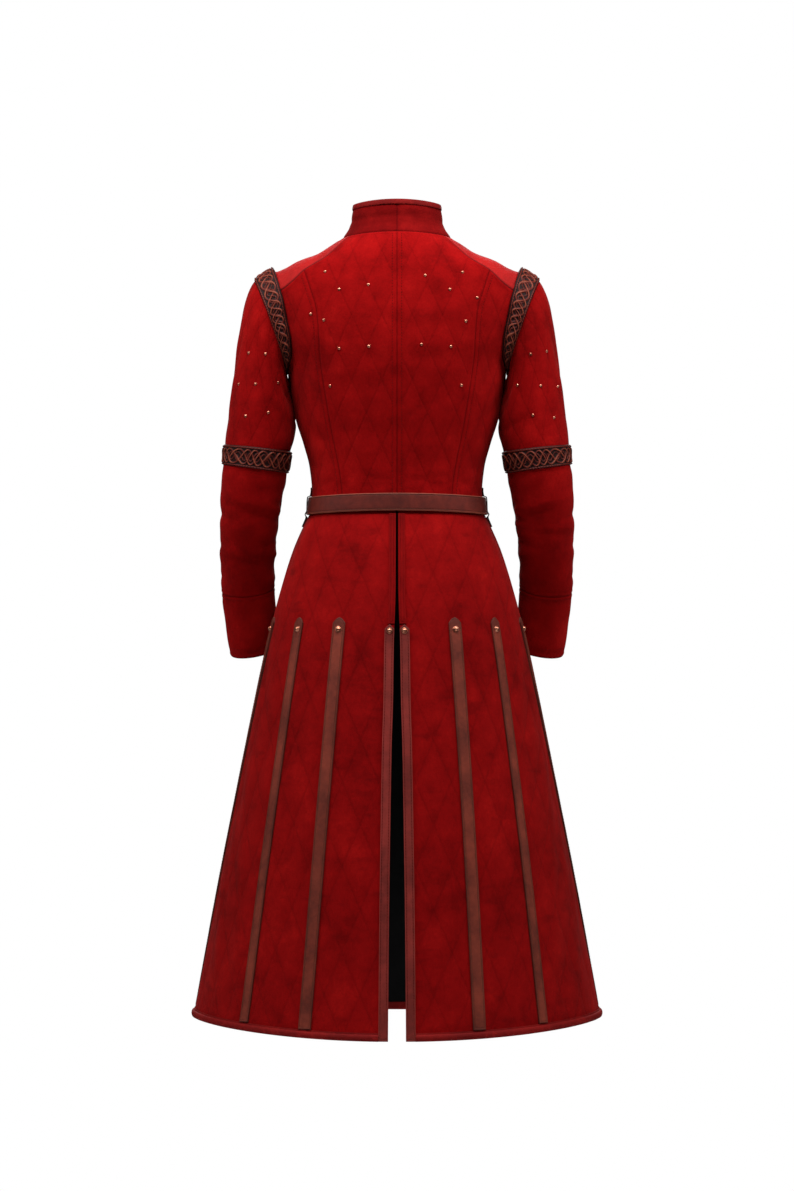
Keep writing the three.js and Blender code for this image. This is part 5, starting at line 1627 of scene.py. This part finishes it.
class Link:
    """A value inside a tree of nodes, with the signs of arithmetic."""

    def __init__(self, nodes, socket):
        self.nodes, self.socket = nodes, socket

    def maths(self, kind, *values):
        return self.nodes.add("ShaderNodeMath", {"operation": kind}, dict(enumerate(values)))

    def __add__(self, other):
        return self.maths("ADD", self, other)

    def __sub__(self, other):
        return self.maths("SUBTRACT", self, other)

    def __rsub__(self, other):
        return self.maths("SUBTRACT", other, self)

    def __mul__(self, other):
        return self.maths("MULTIPLY", self, other)

    def __truediv__(self, other):
        return self.maths("DIVIDE", self, other)

    def __rtruediv__(self, other):
        return self.maths("DIVIDE", other, self)

    def __pow__(self, other):
        return self.maths("POWER", self, other)

    def __rpow__(self, other):
        return self.maths("POWER", other, self)

    def __neg__(self):
        return self.maths("MULTIPLY", self, -1.0)

    __radd__, __rmul__ = __add__, __mul__

    def least(self, other):
        return self.maths("MINIMUM", self, other)

    def most(self, other):
        return self.maths("MAXIMUM", self, other)

    def off_whole(self):
        """The distance from the nearest whole number."""
        return self.maths("PINGPONG", self, 0.5)

    def ramp(self, low, high):
        """Rises smoothly from 0 at low to 1 at high."""
        return self.nodes.add("ShaderNodeMapRange", {"interpolation_type": "SMOOTHSTEP"},
                               {0: self, 1: low, 2: high})

    def bell(self, width):
        """exp(-(value/width)^2)."""
        return math.e ** -((self / width) ** 2.0)

    def between(self, first, second):
        """A blend of two colours, with this value as the second one's share."""
        return self.nodes.add("ShaderNodeMix", {"data_type": "RGBA"},
                               {0: self, 6: first, 7: second}, out=2)


class Nodes:
    """A tree of nodes, which all come from one method."""

    def __init__(self, tree):
        self.tree = tree

    def add(self, kind, settings, sockets, out=0):
        """A node of a kind: its settings, then the values or links of its sockets."""
        node = self.tree.nodes.new(kind)
        for key, value in settings.items():
            setattr(node, key, value)
        self.join(node, sockets)
        return Link(self, node.outputs[out])

    def join(self, node, sockets):
        for key, value in sockets.items():
            if isinstance(value, Link):
                self.tree.links.new(value.socket, node.inputs[key])
            else:
                node.inputs[key].default_value = value


class Finish(Nodes):
    """A material with one Principled shader, made from values and links."""

    def __init__(self, name):
        self.material = bpy.data.materials.new(name)
        self.material.use_nodes = True
        super().__init__(self.material.node_tree)
        self.shader = self.tree.nodes["Principled BSDF"]
        self.place = self.add("ShaderNodeTexCoord", {}, {}, out="Object")

    def noise(self, scale, detail=2.0, rough=0.5, stretch=None):
        """Noise from 0 to 1 in the piece's own coordinates, with `scale` cells to the metre."""
        place = self.place
        if stretch is not None:
            place = self.add("ShaderNodeVectorMath", {"operation": "MULTIPLY"}, {0: place, 1: stretch})
        return self.add("ShaderNodeTexNoise", {},
                        {"Vector": place, "Scale": scale, "Detail": detail, "Roughness": rough})

    def pebbles(self, scale):
        """The distance from the creases between pebbles, with `scale` pebbles to the metre."""
        return self.add("ShaderNodeTexVoronoi", {"feature": "DISTANCE_TO_EDGE"},
                        {"Vector": self.place, "Scale": scale}, out="Distance")

    def value(self, name):
        """A value that the mesh holds at each point."""
        return self.add("ShaderNodeAttribute", {"attribute_name": name}, {}, out="Fac")

    def bump(self, height):
        """Relief of a height in millimetres."""
        normal = self.add("ShaderNodeBump", {}, {"Strength": 1.0, "Distance": MM, "Height": height})
        self.join(self.shader, {"Normal": normal})

    def shade(self, **sockets):
        """The material, once the shader's sockets have their values or links."""
        self.join(self.shader, {key.replace("_", " "): value for key, value in sockets.items()})
        return self.material


QUILT_GAP = 43.0  # millimetres between the stitched lines of one family
DASHES = 24.0  # stitches of a line between two crossings
SHADED_SEAM = colour(58, 1, 3)


def suede(name, dark, middle, light, quilt, dark_streaks=0.0):
    """Napped hide: a little uneven where the nap lies this way and that, with a painted highlight on the
    padding's swell and painted shade in its hollows and at the seams, a groove of strength `quilt` along
    the quilting's stitched lines with painted shade in it, and level dark streaks as strong as the last
    argument."""
    f = Finish(name)
    cloudy, mottle = f.noise(9, 3.0), f.noise(38, 3.0, 0.55)
    nap, grain = f.noise(210, 4.0, 0.65), f.noise(1100, 3.0, 0.6)
    puff, seam = f.value("puff"), f.value("seam")
    # The noises are the hide's own uneven tone; the puff term is a painted highlight on the padding's swell
    # and painted shade in its hollows.
    tone_and_puff_light = 0.5 + (cloudy - 0.5) * 1.2 + (mottle - 0.5) * 1.0 + (nap - 0.5) * 0.6 + (puff - 0.4) * 0.12
    base = tone_and_puff_light.ramp(0.0, 0.6).between(dark, middle)
    base = tone_and_puff_light.ramp(0.5, 1.1).between(base, light)
    height = nap * 0.45 + grain * 0.16 + mottle * 0.3
    # Painted shade where the cloth rolls in at a seam.
    painted_shade_and_streaks = seam.bell(1.0) * 0.6
    # Level dark streaks of stretched noise, where asked.
    if dark_streaks:
        painted_shade_and_streaks = painted_shade_and_streaks.most(f.noise(15, 3.0, 0.55, stretch=(1.0, 1.0, 2.8)).ramp(0.56, 0.74) * dark_streaks)
    if quilt:
        groove = 0.0
        for label, other in (("line_a", "line_b"), ("line_b", "line_a")):
            line = (f.value(label).off_whole() * QUILT_GAP).bell(1.6)
            dash = (f.value(other) * DASHES).off_whole()
            thread = line * (dash * 2.0).ramp(0.25, 0.5)
            groove = groove + line - thread * 0.4
        groove = groove * seam.ramp(TOPSTITCH - 0.5, TOPSTITCH + 0.8)
        height = height - groove * 0.45 * quilt
        # Painted shade along the stitched lines, less where a stitch lies over them.
        painted_shade_and_streaks = painted_shade_and_streaks.most(groove * 0.2 * quilt)
    base = painted_shade_and_streaks.between(base, SHADED_SEAM)
    f.bump(height)
    return f.shade(Base_Color=base, Roughness=0.95 - puff * 0.03, Specular_IOR_Level=0.03,
                   Sheen_Weight=0.06, Sheen_Roughness=0.5, Sheen_Tint=(1.0, 0.12, 0.1, 1))


def lining(name):
    """Plain black cotton: a fine weave of crossing threads."""
    f = Finish(name)
    weave = f.noise(1500, 2.0, 0.5) * 0.3
    base = f.noise(40, 3.0).between(colour(5, 5, 6), colour(12, 11, 12))
    f.bump(weave)
    return f.shade(Base_Color=base, Roughness=0.85 + weave * 0.1, Specular_IOR_Level=0.1)


def leather(name, dark, middle, wear_and_shade_tone, gloss=0.52, edged=True, pebble=520, coat=0.04, shine=0.14,
            shaded_seams=False):
    """Grained hide: pebbles with creases between them, uneven dye, and edges blended towards the third
    colour: lighter with wear on most pieces, but darker on the straps, a painted shade line along their
    edges. A darker pressed line runs beside the edges. A strip's tip is darker. Where asked, the seams get
    painted shade."""
    f = Finish(name)
    dye = f.noise(16, 3.0, 0.55)
    fine = f.noise(120, 4.0, 0.6)
    crease = f.pebbles(pebble)
    shade = dye.ramp(0.3, 0.7) * 0.7 + fine.ramp(0.3, 0.75) * 0.35
    base = shade.between(dark, middle)
    height = crease.ramp(0.0, 0.25) * 0.12 + fine * 0.25 + dye * 0.3
    if edged:
        edge = f.value("edge")
        # The third colour goes on the edges: wear on most pieces, painted shade on the straps, where it is
        # darker.
        rub = (f.noise(60, 3.0) * 0.6 + 0.3) * (1.0 - edge.ramp(0.3, 1.6))
        base = rub.least(1.0).between(base, wear_and_shade_tone)
        press = (edge - EDGE_ROW).bell(0.55)
        tip = 1.0 - f.value("down").ramp(6.0, 30.0)
        base = (press * 0.55).most(tip * 0.8).between(base, dark)
        height = height - press * 0.35
    else:
        base = (fine.ramp(0.55, 0.8) * 0.4).between(base, wear_and_shade_tone)
    # Painted shade along the seams, as a dark line.
    if shaded_seams:
        base = (f.value("seam").bell(1.7) * 0.85).between(base, SHADED_SEAM)
    f.bump(height)
    return f.shade(Base_Color=base, Roughness=gloss + (1.0 - crease.ramp(0, 0.2)) * 0.12 + dye * 0.1,
                   Specular_IOR_Level=shine, Coat_Weight=coat, Coat_Roughness=0.35)


def embossed(name):
    """Tooled hide: the sunk ground is nearly black, and the raised strands are wiped lighter."""
    f = Finish(name)
    rise = f.value("rise")
    dye, fine = f.noise(40, 3.0), f.noise(420, 4.0, 0.6)
    base = rise.ramp(0.1, 0.9).between(colour(28, 7, 5), colour(80, 22, 15))
    rub = rise.ramp(0.9, 1.7) * (dye * 0.9 + fine * 0.5 - 0.15)
    base = rub.least(1.0).between(base, colour(146, 76, 54))
    f.bump(fine * 0.2 + dye * 0.15)
    return f.shade(Base_Color=base, Roughness=0.55 - rise * 0.06 + dye * 0.1, Specular_IOR_Level=0.12)


def metal(name, dark, bright, rough):
    """Cast metal with tarnish in uneven patches and fine scratches."""
    f = Finish(name)
    patches = f.noise(260, 4.0, 0.6)
    fine = f.noise(1800, 3.0, 0.6)
    base = patches.ramp(0.3, 0.7).between(bright, dark)
    f.bump(patches * 0.15 + fine * 0.05)
    return f.shade(Base_Color=base, Metallic=1.0, Roughness=rough + patches * 0.25)


def thread(name, tone):
    """Waxed thread, with fine noise blending in painted shade for the hollows of its twist."""
    f = Finish(name)
    twist_shade = colour(*(c * 0.6 for c in tone))
    return f.shade(Base_Color=f.noise(2600).between(twist_shade, colour(*tone)), Roughness=0.7,
                   Specular_IOR_Level=0.06)


SUEDE_SHADES = (colour(104, 3, 4), colour(130, 6, 7), colour(152, 13, 12))
# The collar and the skirt take darker copies of the suede's tones: painted shade that makes them darker
# under these lamps than the rest.
COLLAR_SHADED_TONES = (colour(78, 3, 4), colour(100, 5, 6), colour(119, 10, 10))
SKIRT_SHADED_TONES = (colour(94, 3, 4), colour(120, 6, 7), colour(141, 12, 11))
TRIM_SHADES = (colour(92, 8, 8), colour(122, 16, 14), colour(146, 30, 26))
finishes = {
    "suede": suede("suede", *SUEDE_SHADES, quilt=0.7),
    "skirt": suede("suede_skirt_shaded", *SKIRT_SHADED_TONES, quilt=0.8, dark_streaks=0.35),
    "collar": suede("suede_plain_shaded", *COLLAR_SHADED_TONES, quilt=0),
    "lining": lining("lining"),
    "yoke_leather": leather("yoke_leather", colour(130, 17, 17), colour(155, 22, 21), colour(167, 30, 28),
                            gloss=0.62, edged=False, pebble=420, coat=0.0, shine=0.08, shaded_seams=True),
    "band_leather": embossed("band_leather"),
    # Its third colour is darker than the rest: a painted shade line along the straps' edges.
    "strap_leather": leather("strap_leather", colour(78, 27, 18), colour(122, 48, 33), colour(46, 16, 11)),
    "strip_leather": leather("strip_leather", colour(90, 25, 20), colour(130, 40, 34), colour(124, 42, 35)),
    "facing_leather": leather("facing_leather", colour(96, 5, 6), colour(124, 9, 9), colour(110, 8, 8),
                              coat=0.0, gloss=0.75, shine=0.03),
    "trim_leather": leather("trim_leather", *TRIM_SHADES, edged=False, pebble=420, coat=0.0, gloss=0.6,
                            shine=0.08),
    "dark_leather": leather("dark_leather", colour(28, 9, 7), colour(46, 16, 12), colour(50, 20, 15)),
    "belt_leather": leather("belt_leather", colour(66, 19, 13), colour(100, 31, 21), colour(150, 78, 58)),
    "copper": metal("copper", colour(110, 58, 42), colour(222, 150, 122), 0.2),
    "buckle_metal": metal("buckle_metal", colour(70, 56, 40), colour(168, 142, 104), 0.3),
    "dark_thread": thread("dark_thread", (100, 5, 6)),
    "brown_thread": thread("brown_thread", (96, 58, 42)),
}


# ------------------------------------------------------------------------------- pieces and slots
# Each finish, the slot it is in, and the pieces that have both.
DRESSED = (
    ("suede", "suede", "back side_back front upper_sleeve lower_sleeve cuff"),
    ("skirt", "suede", "skirt_back skirt_front"),
    ("collar", "suede", "collar"),
    ("yoke_leather", "yoke_leather", "yoke"),
    ("band_leather", "band_leather", "armhole_band elbow_band"),
    ("trim_leather", "trim_leather", "hem_binding_back hem_binding_front collar_binding"),
    ("facing_leather", "trim_leather", "vent_facing"),
    ("strip_leather", "trim_leather", "vent_strip"),
    ("strap_leather", "strap_leather", "strap_inner strap_middle strap_side"),
    ("belt_leather", "belt_leather", "belt"),
    ("dark_leather", "belt_leather", "belt_keeper belt_loop"),
    ("copper", "copper", "rivet_inner rivet_middle rivet_side rivet_vent button studs_back studs_sleeve"),
    ("buckle_metal", "buckle_metal", "belt_buckle belt_prong"),
    ("dark_thread", "suede", "stitches_cloth"),
    ("dark_thread", "trim_leather", "stitches_strips"),
    ("brown_thread", "strap_leather", "stitches_straps"),
    ("brown_thread", "belt_leather", "stitches_belt"),
)
slot_of = {kind: (slot_name, finish_name)
           for finish_name, slot_name, kinds in DRESSED for kind in kinds.split()}


def kind_of(name):
    """A piece's name without its half or number."""
    for ending in (*HALVES, *range(1, BUTTONS + 1)):
        name = name.removesuffix(f"_{ending}")
    return name


for name, piece in made.items():
    slot_name, finish_name = slot_of[kind_of(name)]
    piece.data.materials.append(finishes[finish_name])
    piece.data.materials.append(finishes["lining"])
    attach(piece, "root")
    if not name.startswith(("stitches", "studs")):
        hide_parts(name)


# ------------------------------------------------------------------------------------ floor, light
FLOOR_Z = -1800.0
floor_corners = stack(np.array([-1600, 1600, 1600, -1600]), np.array([-2600, -2600, 1500, 1500]), FLOOR_Z)
floor = add_mesh("floor", floor_corners, [np.array([[0, 1, 2, 3]])])
paper = Finish("paper")
sheet_tone = paper.noise(3).between((0.8, 0.8, 0.8, 1), (0.84, 0.84, 0.84, 1))
floor.data.materials.append(paper.shade(Base_Color=sheet_tone, Roughness=0.9))

world = bpy.data.worlds.new("studio")
bpy.context.scene.world = world
world.use_nodes = True
studio = Nodes(world.node_tree)
seen, ambient = (studio.add("ShaderNodeBackground", {}, {"Color": (1, 1, 1, 1), "Strength": strength})
                 for strength in (1.0, 0.04))
by_camera = studio.add("ShaderNodeLightPath", {}, {}, out="Is Camera Ray")
backdrop = studio.add("ShaderNodeMixShader", {}, {0: by_camera, 1: ambient, 2: seen})
studio.join(studio.tree.nodes["World Output"], {"Surface": backdrop})

# Softboxes, in metres: the place, the size, the power, and the height on the coat's upright axis
# that each is aimed at.
lights = table("x y z wide high watts aim_z", [
    [0, -1.1, 2.0, 1.6, 0.9, 90, -0.3],
    [-1.9, -0.75, 1.4, 1.0, 0.9, 42, -0.4],
    [1.9, -0.75, 1.4, 1.0, 0.9, 42, -0.4],
    [-2.9, -0.5, 0.3, 1.0, 2.0, 9, -0.8],
    [2.9, -0.5, 0.3, 1.0, 2.0, 9, -0.8],
    [0, -5.5, -0.2, 3.0, 2.4, 4, -0.6],
    [0, 3.2, 0.8, 3.0, 2.0, 60, -0.5],
])
for x, y, z, wide, high, watts, aim_z in each_row(lights):
    lamp = bpy.data.lights.new("softbox", "AREA")
    lamp.shape, lamp.size, lamp.size_y, lamp.energy = "RECTANGLE", wide, high, watts
    softbox = bpy.data.objects.new("softbox", lamp)
    bpy.context.scene.collection.objects.link(softbox)
    softbox.location = (x, y, z)
    way = np.array([-x, -y, aim_z - z])
    level = math.hypot(way[0], way[1])
    softbox.rotation_euler = (math.atan2(level, -way[2]), 0, math.atan2(-way[0], way[1]))

# ------------------------------------------------------------------------------------ the pieces' flat sizes
for name, piece in made.items():
    if "flat" in piece:
        width, length, area = piece["flat"]
